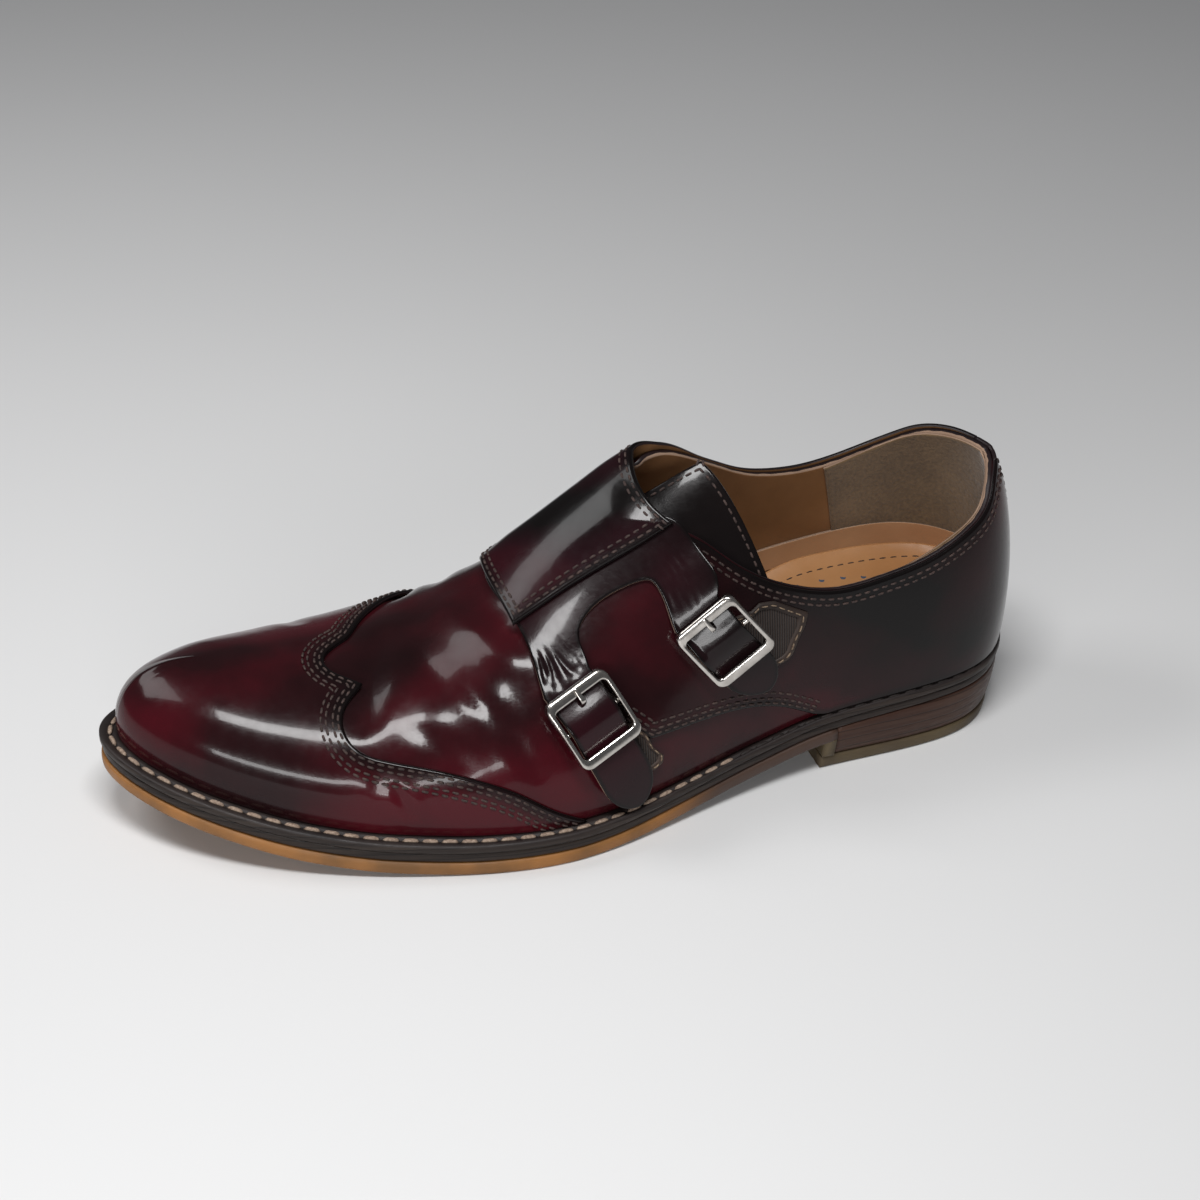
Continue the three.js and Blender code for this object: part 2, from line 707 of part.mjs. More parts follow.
// Distance of the strap off the last: up over the tab and over the buckle's centre bar, and
// off the quarter towards the heel where its buckle is twisted
function strapBase(side, walk, height) {
  const rest = 2 * gap + quarterThick;
  const point = lastPoint(side, walk, height);
  const local = Object.values(places).map((place) => {
    const away = point.clone().sub(place.foot);
    return { along: away.dot(place.along), across: away.dot(place.across), slope: place.slope };
  });
  const nearer = Math.abs(local[0].across) < Math.abs(local[1].across) ? local[0] : local[1];
  const share = nearer.along / buckleLength;
  const climb = strapRise * THREE.MathUtils.smoothstep(share, ...climbAlong);
  const hump = strapHump * Math.exp(-((nearer.along / humpReach) ** 2));
  const lifted = THREE.MathUtils.clamp(halfStrap - nearer.across, 0, twistAcross * halfStrap);
  const turned = lifted * nearer.slope * THREE.MathUtils.smoothstep(share, ...twistAlong);
  return rest + climb + hump + turned;
}

const legDepth = 20;

// Shoulder of the strap's rounded tip: share of its half width, share of its taper
const tipShoulder = { across: 0.55, along: 0.25 };

// One leg of the strap as a prism: straight from under the flap through its buckle to a blunt tip
function strapLeg(place) {
  const shoulder = place.tip - tipShoulder.along * strapTipTaper;
  const outlinePoints = [
    [halfStrap, place.start], [halfStrap, place.tip - strapTipTaper],
    [tipShoulder.across * halfStrap, shoulder], [0, place.tip],
    [-tipShoulder.across * halfStrap, shoulder], [-halfStrap, place.tip - strapTipTaper],
    [-halfStrap, place.start],
  ];
  const corners = outlinePoints.map(([across, along]) => new THREE.Vector2(across, along));
  const shape = new THREE.Shape(corners);
  const leg = new THREE.ExtrudeGeometry(shape, { depth: 2 * legDepth, bevelEnabled: false, steps: 1 });
  leg.translate(0, 0, -legDepth);
  return toSolid(placed(leg, place));
}

function straps() {
  const region = sidePrism(strapYoke, 0, farOut).add(strapLeg(places.lower)).add(strapLeg(places.upper));
  return finePatch(strapBase, (...place) => strapBase(...place) + strapThick)
    .intersect(region)
    .subtract(prongHole(places.lower))
    .subtract(prongHole(places.upper));
}

function tab(region) {
  const base = 2 * gap + quarterThick;
  return lastShell(base, base + tabThick).intersect(sidePrism(region, 0, farOut));
}

// Local sizes of a buckle, outwards from the last
const strapTop = 2 * gap + quarterThick + strapRise + strapThick;
const barBottom = strapTop + gap + buckleClearance;
const barTop = barBottom + buckleBarThick;
const centreBarHeight = 3 * gap + quarterThick + tabThick + centreBarRadius;
const holeAlong = -humpReach;

function prongHole(place) {
  const punch = new THREE.CylinderGeometry(strapHole, strapHole, 2 * legDepth, 12);
  punch.rotateX(Math.PI / 2);
  punch.translate(0, holeAlong, 0);
  return toSolid(placed(punch, place));
}

// Local axes of a buckle piece: X across the strap, Y along it, Z out of the shoe
function placed(geometry, place) {
  const turn = new THREE.Matrix4().makeBasis(place.across, place.along, place.out);
  turn.setPosition(place.centre);
  geometry.applyMatrix4(turn);
  return geometry;
}

function roundedRectangle(width, tall, corner, shift, target) {
  const steps = 2;
  const sideSteps = 4;
  const points = [];
  const centres = [[1, 1], [-1, 1], [-1, -1], [1, -1]];
  centres.forEach(([sx, sy], k) => {
    const cx = sx * (width / 2 - corner);
    const cy = sy * (tall / 2 - corner);
    for (let i = 0; i <= steps; i += 1) {
      const angle = (Math.PI / 2) * (k + i / steps);
      points.push([cx + corner * Math.cos(angle), cy + corner * Math.sin(angle) + shift]);
    }
    const straight = tall - 2 * corner;
    if (k % 2 === 1) {
      for (let i = 1; i < sideSteps; i += 1) {
        points.push([sx * (width / 2), cy + shift - sy * (straight * i) / sideSteps]);
      }
    }
  });
  points.forEach(([x, y], i) => (i === 0 ? target.moveTo(x, y) : target.lineTo(x, y)));
  return target;
}

// Bends a flat piece round the side of the shoe
function bend(geometry) {
  const position = geometry.attributes.position;
  for (let i = 0; i < position.count; i += 1) {
    const along = position.getY(i);
    position.setZ(i, position.getZ(i) - (along * along) / (2 * buckleBend));
  }
  return geometry;
}

function buckleFrame(place) {
  const shape = roundedRectangle(buckleWidth, buckleLength, buckleCorner, 0, new THREE.Shape());
  const windowWide = buckleWidth - 2 * buckleSideBar;
  const windowTall = buckleLength - 2 * buckleEndBar;
  shape.holes.push(roundedRectangle(windowWide, windowTall, buckleCorner / 2, 0, new THREE.Path()));
  const ring = new THREE.ExtrudeGeometry(shape, { depth: buckleDepth, bevelEnabled: false, steps: 1 });
  ring.translate(0, 0, barTop - buckleDepth);
  const channel = new THREE.BoxGeometry(windowWide, 2 * buckleLength, 2 * buckleDepth, 1, 12, 1);
  channel.translate(0, 0, barBottom - buckleDepth);
  const bar = new THREE.CylinderGeometry(centreBarRadius, centreBarRadius, buckleWidth - buckleSideBar, 10);
  bar.rotateZ(Math.PI / 2);
  bar.translate(0, 0, centreBarHeight);
  const frame = toSolid(placed(bend(ring), place)).subtract(toSolid(placed(bend(channel), place)));
  return frame.add(toSolid(placed(bar, place)));
}

// The prong comes up through the strap's hole and lies on the first bar
function prong(place) {
  const half = prongWidth / 2;
  const fall = (buckleLength / 2 - buckleEndBar / 2) ** 2 / (2 * buckleBend);
  const onBar = barTop + gap - fall;
  const tip = -buckleLength / 2 + buckleCorner / 4;
  const overBar = -buckleLength / 2 + buckleEndBar;
  const profile = new THREE.Shape([
    new THREE.Vector2(tip, onBar),
    new THREE.Vector2(overBar, onBar + fall / 2),
    new THREE.Vector2(holeAlong - half, onBar),
    new THREE.Vector2(holeAlong - half, centreBarHeight),
    new THREE.Vector2(holeAlong + half, centreBarHeight),
    new THREE.Vector2(holeAlong + half, onBar + prongThick),
    new THREE.Vector2(holeAlong, onBar + 1.6 * prongThick),
    new THREE.Vector2(overBar, onBar + 1.6 * prongThick),
    new THREE.Vector2(tip, onBar + 0.7 * prongThick),
  ]);
  const bar = new THREE.ExtrudeGeometry(profile, { depth: prongWidth, bevelEnabled: false, steps: 1 });
  bar.translate(0, 0, -half);
  const upright = new THREE.Matrix4().makeBasis(
    new THREE.Vector3(0, 1, 0),
    new THREE.Vector3(0, 0, 1),
    new THREE.Vector3(1, 0, 0),
  );
  bar.applyMatrix4(upright);
  return toSolid(placed(bar, place));
}

// Distance across the shoe at a station, for an outline moved inwards
function halfWidth(line, x) {
  let i = 0;
  while (i < line.length - 2 && line[i + 1].x < x) i += 1;
  const t = THREE.MathUtils.clamp((x - line[i].x) / (line[i + 1].x - line[i].x), 0, 1);
  return line[i].y + t * (line[i + 1].y - line[i].y);
}

// A slab inside the outline, from one share of the length to another. Stations crowd towards a
// round end. Its heights are functions of the place along and of how near the edge it is
function slab({ from = 0, to = 1, stations, edge, lowEdge = edge, low, high, across = 4 }) {
  const grid = (width, heightAt) => {
    const lines = { lateral: inset('lateral', width), medial: inset('medial', width) };
    const first = lines.lateral[0].x;
    const last = lines.lateral[outlineSamples - 1].x;
    const start = from > 0 ? from * length : first;
    const end = to < 1 ? to * length : last;
    const result = [];
    for (let i = 0; i <= stations; i += 1) {
      const t = i / stations;
      let share = t;
      if (from === 0 && to === 1) share = (1 - Math.cos(Math.PI * t)) / 2;
      else if (from === 0) share = 1 - Math.cos((Math.PI * t) / 2);
      else if (to === 1) share = Math.sin((Math.PI * t) / 2);
      const x = start + share * (end - start);
      const outer = halfWidth(lines.lateral, x);
      const inner = halfWidth(lines.medial, x);
      const column = [];
      for (let k = 0; k <= across; k += 1) {
        const place = k / across;
        const nearEdge = Math.abs(2 * place - 1);
        column.push(new THREE.Vector3(x, inner + place * (outer - inner), heightAt(x, nearEdge)));
      }
      result.push(column);
    }
    return result;
  };
  return between(grid(edge, high), grid(lowEdge, low));
}

const same = (value) => () => value;
const heelEnd = heelLength / length;
const midsoleBase = (x) => underside(x) + outsoleThick + gap;
const weltBase = (x) => midsoleBase(x) + midsoleThick + gap;

// Tan outsole: a sheet under the forepart that turns down the heel breast and on under the heel
function outsole() {
  const edge = same(outsoleInset);
  const from = heelEnd - breastThick / length;
  const high = (x) => underside(x) + outsoleThick;
  const sheet = slab({ from, stations: 32, edge, low: underside, high });
  const breast = slab({
    from, to: heelEnd, stations: 1, edge, low: same(0), high: (x) => underside(x) + outsoleThick / 2,
  });
  const lift = slab({
    to: heelEnd, stations: 12, edge: same(liftTaper), lowEdge: same(heelTaper),
    low: same(0), high: same(liftThick),
  });
  return sheet.add(breast).add(lift);
}

function heelStack() {
  const to = heelEnd - (breastThick + gap) / length;
  return slab({
    to, stations: 12, edge: same(outsoleInset), lowEdge: same(liftTaper),
    low: same(liftThick + gap), high: (x) => underside(x) + outsoleThick,
  });
}

function midsole() {
  const high = (x) => midsoleBase(x) + midsoleThick;
  return slab({ stations: 32, edge: same(midsoleInset), low: midsoleBase, high });
}

// The welt is a ring: its inner lip carries the edge of the insole
function welt() {
  const ring = slab({ stations: 32, edge: same(0), low: weltBase, high: (x) => weltBase(x) + weltThick });
  const hole = (x) => weltShow(x) + upperWall + weltLip;
  return ring.subtract(slab({
    stations: 26, edge: hole, low: (x) => weltBase(x) - weltThick, high: (x) => seat(x) + weltThick,
  }));
}

// Shares of the length between which the heel pad runs out
const padEnds = [0.2, 0.36];

// Insole with a pad under the heel, turned up at its edge
function insole() {
  const edge = (x) => weltShow(x) + upperWall + insoleClearance;
  const pad = (x) => heelPad * (1 - THREE.MathUtils.smoothstep(x / length, ...padEnds));
  const cup = (x, nearEdge) => seat(x) + gap + insoleThick + pad(x) + insoleCup * nearEdge ** 4;
  return slab({ stations: 24, edge, low: (x) => seat(x) + gap, high: cup, across: 6 });
}

const leafColumns = 9;
const leafRows = 7;

// A leaf inside the throat that leans to the outer side and stands out behind the flap
function tongueLeaf() {
  const top = -upperWall - tongueClearance;
  const leaf = (distance) => {
    const grid = [];
    for (let i = 0; i <= leafColumns; i += 1) {
      const back = i / leafColumns;
      const column = [];
      for (let j = 0; j <= leafRows; j += 1) {
        const over = j / leafRows;
        const rear = tongue.rearLateral + over * (tongue.rearMedial - tongue.rearLateral);
        const walk = tongue.front + back * (rear - tongue.front);
        const high = tongue.highRear + (1 - back) ** 3 * (tongue.highFront - tongue.highRear);
        const across = tongue.low + over * (high - tongue.low);
        const side = across <= 1 ? 'lateral' : 'medial';
        column.push(offLast(side, walk, across <= 1 ? across : 2 - across, distance));
      }
      grid.push(column);
    }
    return grid;
  };
  return between(leaf(top), leaf(top - tongueThick));
}

const finishes = {
  sole_tan: { color: 0x9a6b35, roughness: 0.6, metalness: 0 },
  heel_brown: { color: 0x4b2f22, roughness: 0.55, metalness: 0 },
  edge_dark: { color: 0x2a2220, roughness: 0.5, metalness: 0 },
  burgundy: { color: 0x3a0d14, roughness: 0.2, metalness: 0 },
  strap_dark: { color: 0x241a1d, roughness: 0.3, metalness: 0 },
  footbed_tan: { color: 0xa9703c, roughness: 0.6, metalness: 0 },
  elastic_brown: { color: 0x2d201b, roughness: 0.8, metalness: 0 },
  nickel: { color: 0xb9b2a9, roughness: 0.25, metalness: 1 },
};

const pieces = {
  outsole: [outsole(), 'sole_tan'],
  heel_stack: [heelStack(), 'heel_brown'],
  midsole: [midsole(), 'edge_dark'],
  welt: [welt(), 'edge_dark'],
  insole: [insole(), 'footbed_tan'],
  upper: [upper(), 'burgundy'],
  tongue: [tongueLeaf(), 'strap_dark'],
  toe_cap: [toeCap(), 'burgundy'],
  quarter_lateral: [lateralQuarter(), 'burgundy'],
  quarter_medial: [medialQuarterWithFlap(), 'burgundy'],
  back_strip: [backStrip(), 'burgundy'],
  straps: [straps(), 'strap_dark'],
  tab_upper: [tab(upperTab), 'elastic_brown'],
  tab_lower: [tab(lowerTab), 'elastic_brown'],
  buckle_lower: [buckleFrame(places.lower), 'nickel'],
  buckle_upper: [buckleFrame(places.upper), 'nickel'],
  prong_lower: [prong(places.lower), 'nickel'],
  prong_upper: [prong(places.upper), 'nickel'],
};

const shoe = new THREE.Group();
for (const [name, [solid, finish]] of Object.entries(pieces)) {
  const mesh = new THREE.Mesh(toGeometry(solid), new THREE.MeshStandardMaterial(finishes[finish]));
  mesh.name = name;
  shoe.add(mesh);
}

const box = new THREE.Box3().setFromObject(shoe);
shoe.position.set(-(box.min.x + box.max.x) / 2, -(box.min.y + box.max.y) / 2, -box.min.z);

export default shoe;
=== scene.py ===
"""Looks of a burgundy double monk strap shoe, worked out around its solid model.

Shapes are worked out in the shoe's own millimetres, heel at x 0 and toe towards +x, with the outer
side of the foot towards +y, and moved into the frame's metres when a mesh is made. A place on the
last is a pair: the walk from heel (0) to toe (1), and the way across it from the outer feather
line (0) over the ridge (1) to the inner feather line (2).
"""

import bmesh
import bpy
import numpy as np
from mathutils import Matrix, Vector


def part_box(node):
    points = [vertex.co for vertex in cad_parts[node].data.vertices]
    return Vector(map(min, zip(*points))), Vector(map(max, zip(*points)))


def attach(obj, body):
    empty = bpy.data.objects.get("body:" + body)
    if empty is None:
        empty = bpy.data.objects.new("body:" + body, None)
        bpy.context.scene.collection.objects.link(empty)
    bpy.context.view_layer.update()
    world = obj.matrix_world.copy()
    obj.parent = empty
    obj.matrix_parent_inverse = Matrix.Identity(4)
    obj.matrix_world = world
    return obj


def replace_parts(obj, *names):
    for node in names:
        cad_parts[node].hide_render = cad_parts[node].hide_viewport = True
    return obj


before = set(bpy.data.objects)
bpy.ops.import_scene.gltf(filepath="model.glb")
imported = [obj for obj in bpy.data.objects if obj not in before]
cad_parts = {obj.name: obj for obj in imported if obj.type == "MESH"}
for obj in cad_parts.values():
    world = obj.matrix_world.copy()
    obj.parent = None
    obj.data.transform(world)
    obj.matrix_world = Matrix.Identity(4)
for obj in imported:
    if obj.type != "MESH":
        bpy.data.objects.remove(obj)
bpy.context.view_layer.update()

# Driving sizes, in millimetres
LENGTH = 288.0
BALL_WIDTH = 106.0
CONE_HEIGHT = 93.0
HEEL_HEIGHT = 15.0
TOE_SPRING = 18.5
HEEL_LENGTH = 72.0

# Sole layers, from the ground up
OUTSOLE_THICK = 4.2
MIDSOLE_THICK = 3.2
WELT_THICK = 2.7
LIFT_THICK = 4.5
BREAST_THICK = 4.0
HEEL_TAPER = 2.6
LIFT_TAPER = 2.1
MIDSOLE_INSET = 0.7
OUTSOLE_INSET = 0.2
WELT_LIP = 3.2

# Leather
GAP = 0.3
UPPER_WALL = 2.0
CAP_THICK = 1.3
QUARTER_THICK = 1.4
STRAP_THICK = 1.6
FLAP_THICK = 1.7
TAB_THICK = 0.9
TONGUE_THICK = 2.2
TONGUE_CLEARANCE = 0.7
INSOLE_THICK = 3.0
HEEL_PAD = 10.0
INSOLE_CLEARANCE = 0.8
INSOLE_CUP = 4.5
STRIP_WIDTH = 12.0
STRIP_THICK = 1.2
GRIP_THICK = 0.7

# Buckles
BUCKLE_WIDTH = 21.5
BUCKLE_LENGTH = 23.5
SIDE_BAR = 1.5
END_BAR = 3.4
BUCKLE_CORNER = 3.0
BUCKLE_DEPTH = 3.4
BUCKLE_BEND = 75.0
BUCKLE_CLEARANCE = 0.95
BAR_THICK = 1.5
BAR_RADIUS = 0.8
PRONG_WIDTH = 1.8
PRONG_THICK = 0.9
STRAP_PLAY = 1.1
TIP_TAPER = 12.0
STRAP_RISE = TAB_THICK + GAP
STRAP_HUMP = 2 * BAR_RADIUS + 2.5 * GAP
HUMP_REACH = 5.5

SEAT_THICK = OUTSOLE_THICK + MIDSOLE_THICK + WELT_THICK + 2 * GAP

OUTER, INNER = 0, 1
SIGN = (1.0, -1.0)
X_AXIS, Z_AXIS = np.eye(3)[[0, 2]]
SIDE_VIEW = np.array([X_AXIS, Z_AXIS])


def table(names, *rows):
    """Rows of numbers as named columns; the first column is the one that the table is read by."""
    columns = dict(zip(names.split(), np.array(rows, float).T))
    columns["key"] = names.split()[0]
    return columns


# Outline of the sole: share of the length, then shares of the ball width to each side
OUTLINE = table(
    "along outer inner",
    (0, 0, 0), (0.012, 0.118, 0.118), (0.049, 0.231, 0.236), (0.132, 0.302, 0.302),
    (0.25, 0.33, 0.292), (0.403, 0.424, 0.255), (0.5625, 0.538, 0.387), (0.694, 0.5, 0.46),
    (0.826, 0.396, 0.41), (0.917, 0.269, 0.305), (0.976, 0.123, 0.184), (1, -0.038, 0.038),
)

# Underside of the sole line: share of the length, then shares of heel height and toe spring
UNDERSIDE = table(
    "along heel toe",
    (0, 1, 0), (0.139, 0.88, 0), (0.25, 0.707, 0), (0.33, 0.44, 0), (0.417, 0.187, 0),
    (0.503, 0.033, 0), (0.549, 0, 0), (0.639, 0, 0), (0.729, 0, 0.07), (0.816, 0, 0.26),
    (0.903, 0, 0.573), (1, 0, 1),
)

# Welt showing outside the upper: share of the length, then millimetres
WELT = table("along show", (0, 2.2), (0.25, 2.6), (0.417, 3.2), (0.573, 5.5), (0.694, 6.5), (1, 7))

# Top line of the last: share of the length, share of the cone height over the insole seat, and
# share of the ball width towards the outer side
RIDGE = table(
    "along rise side",
    (0.09, 0.873, 0), (0.208, 0.963, 0), (0.34, 1, -0.012), (0.389, 0.967, -0.02),
    (0.434, 0.904, -0.034), (0.486, 0.8, -0.042), (0.538, 0.69, -0.048), (0.59, 0.581, -0.052),
    (0.642, 0.492, -0.05), (0.694, 0.427, -0.048), (0.747, 0.385, -0.046), (0.799, 0.361, -0.045),
    (0.851, 0.341, -0.044), (0.896, 0.306, -0.044),
)

# Cross-sections of the last by the share walked from heel to toe: outward bulge as a share of the
# ball width, then how far the lower and the upper handle of the curve reach
SECTIONS = (
    table(
        "at bulge low high",
        (0, 0.038, 0.5, 0.62), (0.12, 0.042, 0.5, 0.66), (0.25, 0.038, 0.45, 0.62),
        (0.38, 0.019, 0.42, 0.5), (0.5, 0.01, 0.42, 0.45), (0.62, 0.028, 0.52, 0.56),
        (0.75, 0.028, 0.6, 0.6), (0.88, 0.028, 0.7, 0.62), (1, 0.024, 0.75, 0.6),
    ),
    table(
        "at bulge low high",
        (0, 0.038, 0.5, 0.62), (0.12, 0.038, 0.5, 0.66), (0.25, 0.028, 0.45, 0.62),
        (0.38, 0.019, 0.46, 0.48), (0.5, 0.019, 0.46, 0.46), (0.62, 0.028, 0.52, 0.56),
        (0.75, 0.028, 0.58, 0.62), (0.88, 0.024, 0.66, 0.62), (1, 0.024, 0.75, 0.6),
    ),
)

# Lines drawn on the side of the shoe: shares of the length and, upwards, of the height between
# the insole seat at the ball and the top of the cone
TOPLINE = (
    [(-0.05, 0.84), (0.03, 0.83), (0.052, 0.775), (0.07, 0.718), (0.1, 0.675), (0.149, 0.62),
     (0.196, 0.59), (0.242, 0.575), (0.287, 0.6), (0.33, 0.655), (0.372, 0.742), (0.41, 0.81),
     (0.44, 0.828), (0.5, 0.81)],
    [(-0.05, 0.84), (0.033, 0.835), (0.052, 0.845), (0.069, 0.842), (0.103, 0.8), (0.143, 0.74),
     (0.178, 0.705), (0.214, 0.69), (0.264, 0.71), (0.316, 0.785), (0.344, 0.84), (0.385, 0.935),
     (0.413, 0.985), (0.44, 1.02), (0.5, 1.02)],
)
# Where the inner side's lining leaves its top line to end under the flap
LINING_FROM = 0.33
LINING_END = [(0.35, 0.85), (0.385, 0.915), (0.413, 0.94), (0.435, 0.935), (0.45, 0.91), (0.5, 0.87)]
ARCH_SEAM = [(0.25, 0.08), (0.262, 0.12), (0.283, 0.16), (0.32, 0.212), (0.358, 0.235),
             (0.403, 0.238), (0.465, 0.232)]
OUTER_FRONT = [(0.497, 0.315), (0.531, 0.434), (0.556, 0.53), (0.566, 0.6), (0.521, 0.68),
               (0.465, 0.76), (0.428, 0.822)]
INNER_FRONT = [(0.487, 0.3), (0.503, 0.4), (0.535, 0.5), (0.566, 0.58)]
FLAP_REAR = [(0.446, 0.956), (0.444, 0.927), (0.437, 0.897), (0.428, 0.873), (0.421, 0.858)]
FLAP_CORNER = (0.591, 0.581)
FLAP_RIDGE = 0.598
YOKE_OUTER = [(0.58, 0.53), (0.591, 0.59), (0.594, 0.65), (0.556, 0.73), (0.486, 0.83), (0.44, 0.865),
              (0.412, 0.845), (0.405, 0.817), (0.394, 0.767), (0.387, 0.717)]
STRAP_CUT = [(0.526, 0.58), (0.521, 0.598), (0.5, 0.646), (0.485, 0.669), (0.461, 0.696), (0.45, 0.698),
             (0.445, 0.684)]

# Rear edge of the toe cap, as places, in two arms that meet at its peak
WING = (
    [(0.539, 0), (0.568, 0.06), (0.604, 0.155), (0.64, 0.23), (0.676, 0.29), (0.714, 0.34), (0.75, 0.4),
     (0.765, 0.485), (0.769, 0.575), (0.765, 0.64), (0.752, 0.725)],
    [(0.752, 0.725), (0.77, 0.77), (0.781, 0.795), (0.792, 0.83), (0.799, 0.88), (0.798, 0.92),
     (0.79, 0.96), (0.776, 1.0), (0.752, 1.09), (0.718, 1.22), (0.68, 1.37), (0.64, 1.53),
     (0.6, 1.72), (0.565, 2)],
)

# Outlines of the elastic tabs, as places
TABS = {
    "upper": [(0.355, 0.375), (0.346, 0.385), (0.33, 0.375), (0.296, 0.315), (0.3, 0.285), (0.307, 0.26),
              (0.314, 0.225), (0.32, 0.215), (0.372, 0.2), (0.4, 0.3), (0.392, 0.385)],
    "lower": [(0.505, 0.3), (0.477, 0.215), (0.471, 0.17), (0.46, 0.13), (0.461, 0.11), (0.471, 0.1),
              (0.495, 0.12), (0.53, 0.235)],
}

# Buckles: where they sit on the last, the way their strap runs, how far they stand off towards
# the heel, in degrees, and how far the strap's tip reaches beyond their middle
BUCKLES = {
    "lower": {"walk": 0.533, "height": 0.336, "run": (-0.394, -0.919), "twist": 0.0, "tip": 32.0},
    "upper": {"walk": 0.389, "height": 0.361, "run": (-0.6, -0.8), "twist": 17.0, "tip": 24.0},
}

# The tongue: its walk at the front and at both rear corners, and its way across the last
TONGUE = {"front": 0.6, "rear_outer": 0.325, "rear_inner": 0.372, "low": 0.4,
          "high_front": 1.3, "high_rear": 0.85}


# Curves


def follow(rows, column, value):
    """Monotone cubic through a table's column. The slope at a row is the harmonic mean of the
    rises on its two sides, and nothing where they differ in sign."""
    x, y = rows[rows["key"]], rows[column]
    rise = np.diff(y) / np.diff(x)
    both = rise[:-1] * rise[1:]
    total = np.where(both > 0, rise[:-1] + rise[1:], 1.0)
    slope = np.concatenate([rise[:1], np.where(both > 0, 2 * both / total, 0.0), rise[-1:]])
    value = np.clip(value, x[0], x[-1])
    i = np.clip(np.searchsorted(x, value) - 1, 0, len(x) - 2)
    span = x[i + 1] - x[i]
    return hermite((value - x[i]) / span, span, y[i], y[i + 1], slope[i], slope[i + 1])


def hermite(t, span, low, high, low_slope, high_slope):
    """Cubic with given ends and end slopes."""
    return (
        (2 * t**3 - 3 * t**2 + 1) * low + (t**3 - 2 * t**2 + t) * span * low_slope
        + (3 * t**2 - 2 * t**3) * high + (t**3 - t**2) * span * high_slope
    )


def walked(points):
    """Length walked along a line of points up to each of them."""
    return np.concatenate([[0.0], np.cumsum(np.linalg.norm(np.diff(points, axis=0), axis=1))])


def read_at(values, at, where):
    """Values along a line, read between the lengths at which they are known."""
    return np.stack([np.interp(where, at, column) for column in values.T], axis=1)


def spline(knots, values, start, end):
    """Cubic spline with two continuous derivatives and set slopes at its ends, as a function."""
    count = len(knots)
    span = np.diff(knots)
    rise = np.diff(values, axis=0) / span[:, None]
    inner = np.arange(1, count - 1)
    system = np.eye(count)
    system[inner, inner - 1] = span[1:]
    system[inner, inner] = 2 * (span[:-1] + span[1:])
    system[inner, inner + 1] = span[:-1]
    right = np.empty((count, values.shape[1]))
    right[0], right[-1] = start, end
    right[1:-1] = 3 * (span[1:, None] * rise[:-1] + span[:-1, None] * rise[1:])
    slope = np.linalg.solve(system, right)

    def read(x):
        i = np.clip(np.searchsorted(knots, x) - 1, 0, count - 2)
        t = ((x - knots[i]) / span[i])[:, None]
        return hermite(t, span[i][:, None], values[i], values[i + 1], slope[i], slope[i + 1])

    return read


def evenly(points, count):
    """The same line of points at equal steps of its own length."""
    at = walked(points)
    return read_at(points, at, np.linspace(0, at[-1], count))


def smooth(points, count=80):
    """Smooth curve through points, by their chord lengths, at equal steps."""
    points = np.asarray(points, float)
    knots = walked(points)
    first = (points[1] - points[0]) / (knots[1] - knots[0])
    last = (points[-1] - points[-2]) / (knots[-1] - knots[-2])
    return evenly(spline(knots, points, first, last)(np.linspace(0, knots[-1], 8 * count)), count)


def smoothstep(value, low, high):
    """Rises from 0 at low to 1 at high with level ends."""
    t = np.clip((value - low) / (high - low), 0, 1)
    return t * t * (3 - 2 * t)


def unit(vectors):
    return vectors / np.maximum(np.linalg.norm(vectors, axis=-1, keepdims=True), 1e-12)


# The last


SAMPLES = 241


def outline_side(side):
    """One side of the sole's outline, from the back of the heel to the tip of the toe."""
    across = OUTLINE["outer" if side == OUTER else "inner"]
    points = np.stack([OUTLINE["along"] * LENGTH, SIGN[side] * across * BALL_WIDTH], axis=1)
    knots = walked(points)
    curve = spline(knots, points, (0, SIGN[side]), (0, -SIGN[side]))
    return evenly(curve(np.linspace(0, knots[-1], 6 * SAMPLES + 1)), SAMPLES)


EDGE = [outline_side(OUTER), outline_side(INNER)]


def inset(side, width):
    """The outline moved inwards by a width, a number or a function of x."""
    points = EDGE[side]
    ahead = unit(np.gradient(points, axis=0))
    inward = SIGN[side] * np.stack([ahead[:, 1], -ahead[:, 0]], axis=1)
    step = width(points[:, 0]) if callable(width) else np.full(len(points), float(width))
    moved = points + inward * step[:, None]
    moved[0, 1], moved[-1, 1] = points[0, 1], points[-1, 1]
    return moved


def welt_show(x):
    return follow(WELT, "show", x / LENGTH)


FEATHER = np.stack([evenly(inset(OUTER, welt_show), SAMPLES), evenly(inset(INNER, welt_show), SAMPLES)])


def underside(x):
    """Height of the sole's underside: heel height and toe spring by the share of the length."""
    share = x / LENGTH
    return HEEL_HEIGHT * follow(UNDERSIDE, "heel", share) + TOE_SPRING * follow(UNDERSIDE, "toe", share)


def seat(x):
    return underside(x) + SEAT_THICK


RIDGE_START, RIDGE_END = RIDGE["along"][0], RIDGE["along"][-1]
FEATHER_X = (FEATHER[:, 0, 0].mean(), FEATHER[:, -1, 0].mean())

# Steps over which slopes are measured: share of the length, shares of walk and height
SLOPE_STEP = 0.002
NORMAL_STEP = 0.01

# Share beside a seam over which both sides of the last take a common outward direction
SEAM_BLEND = 0.02


def ridge_height(share):
    return seat(share * LENGTH) + CONE_HEIGHT * follow(RIDGE, "rise", share)


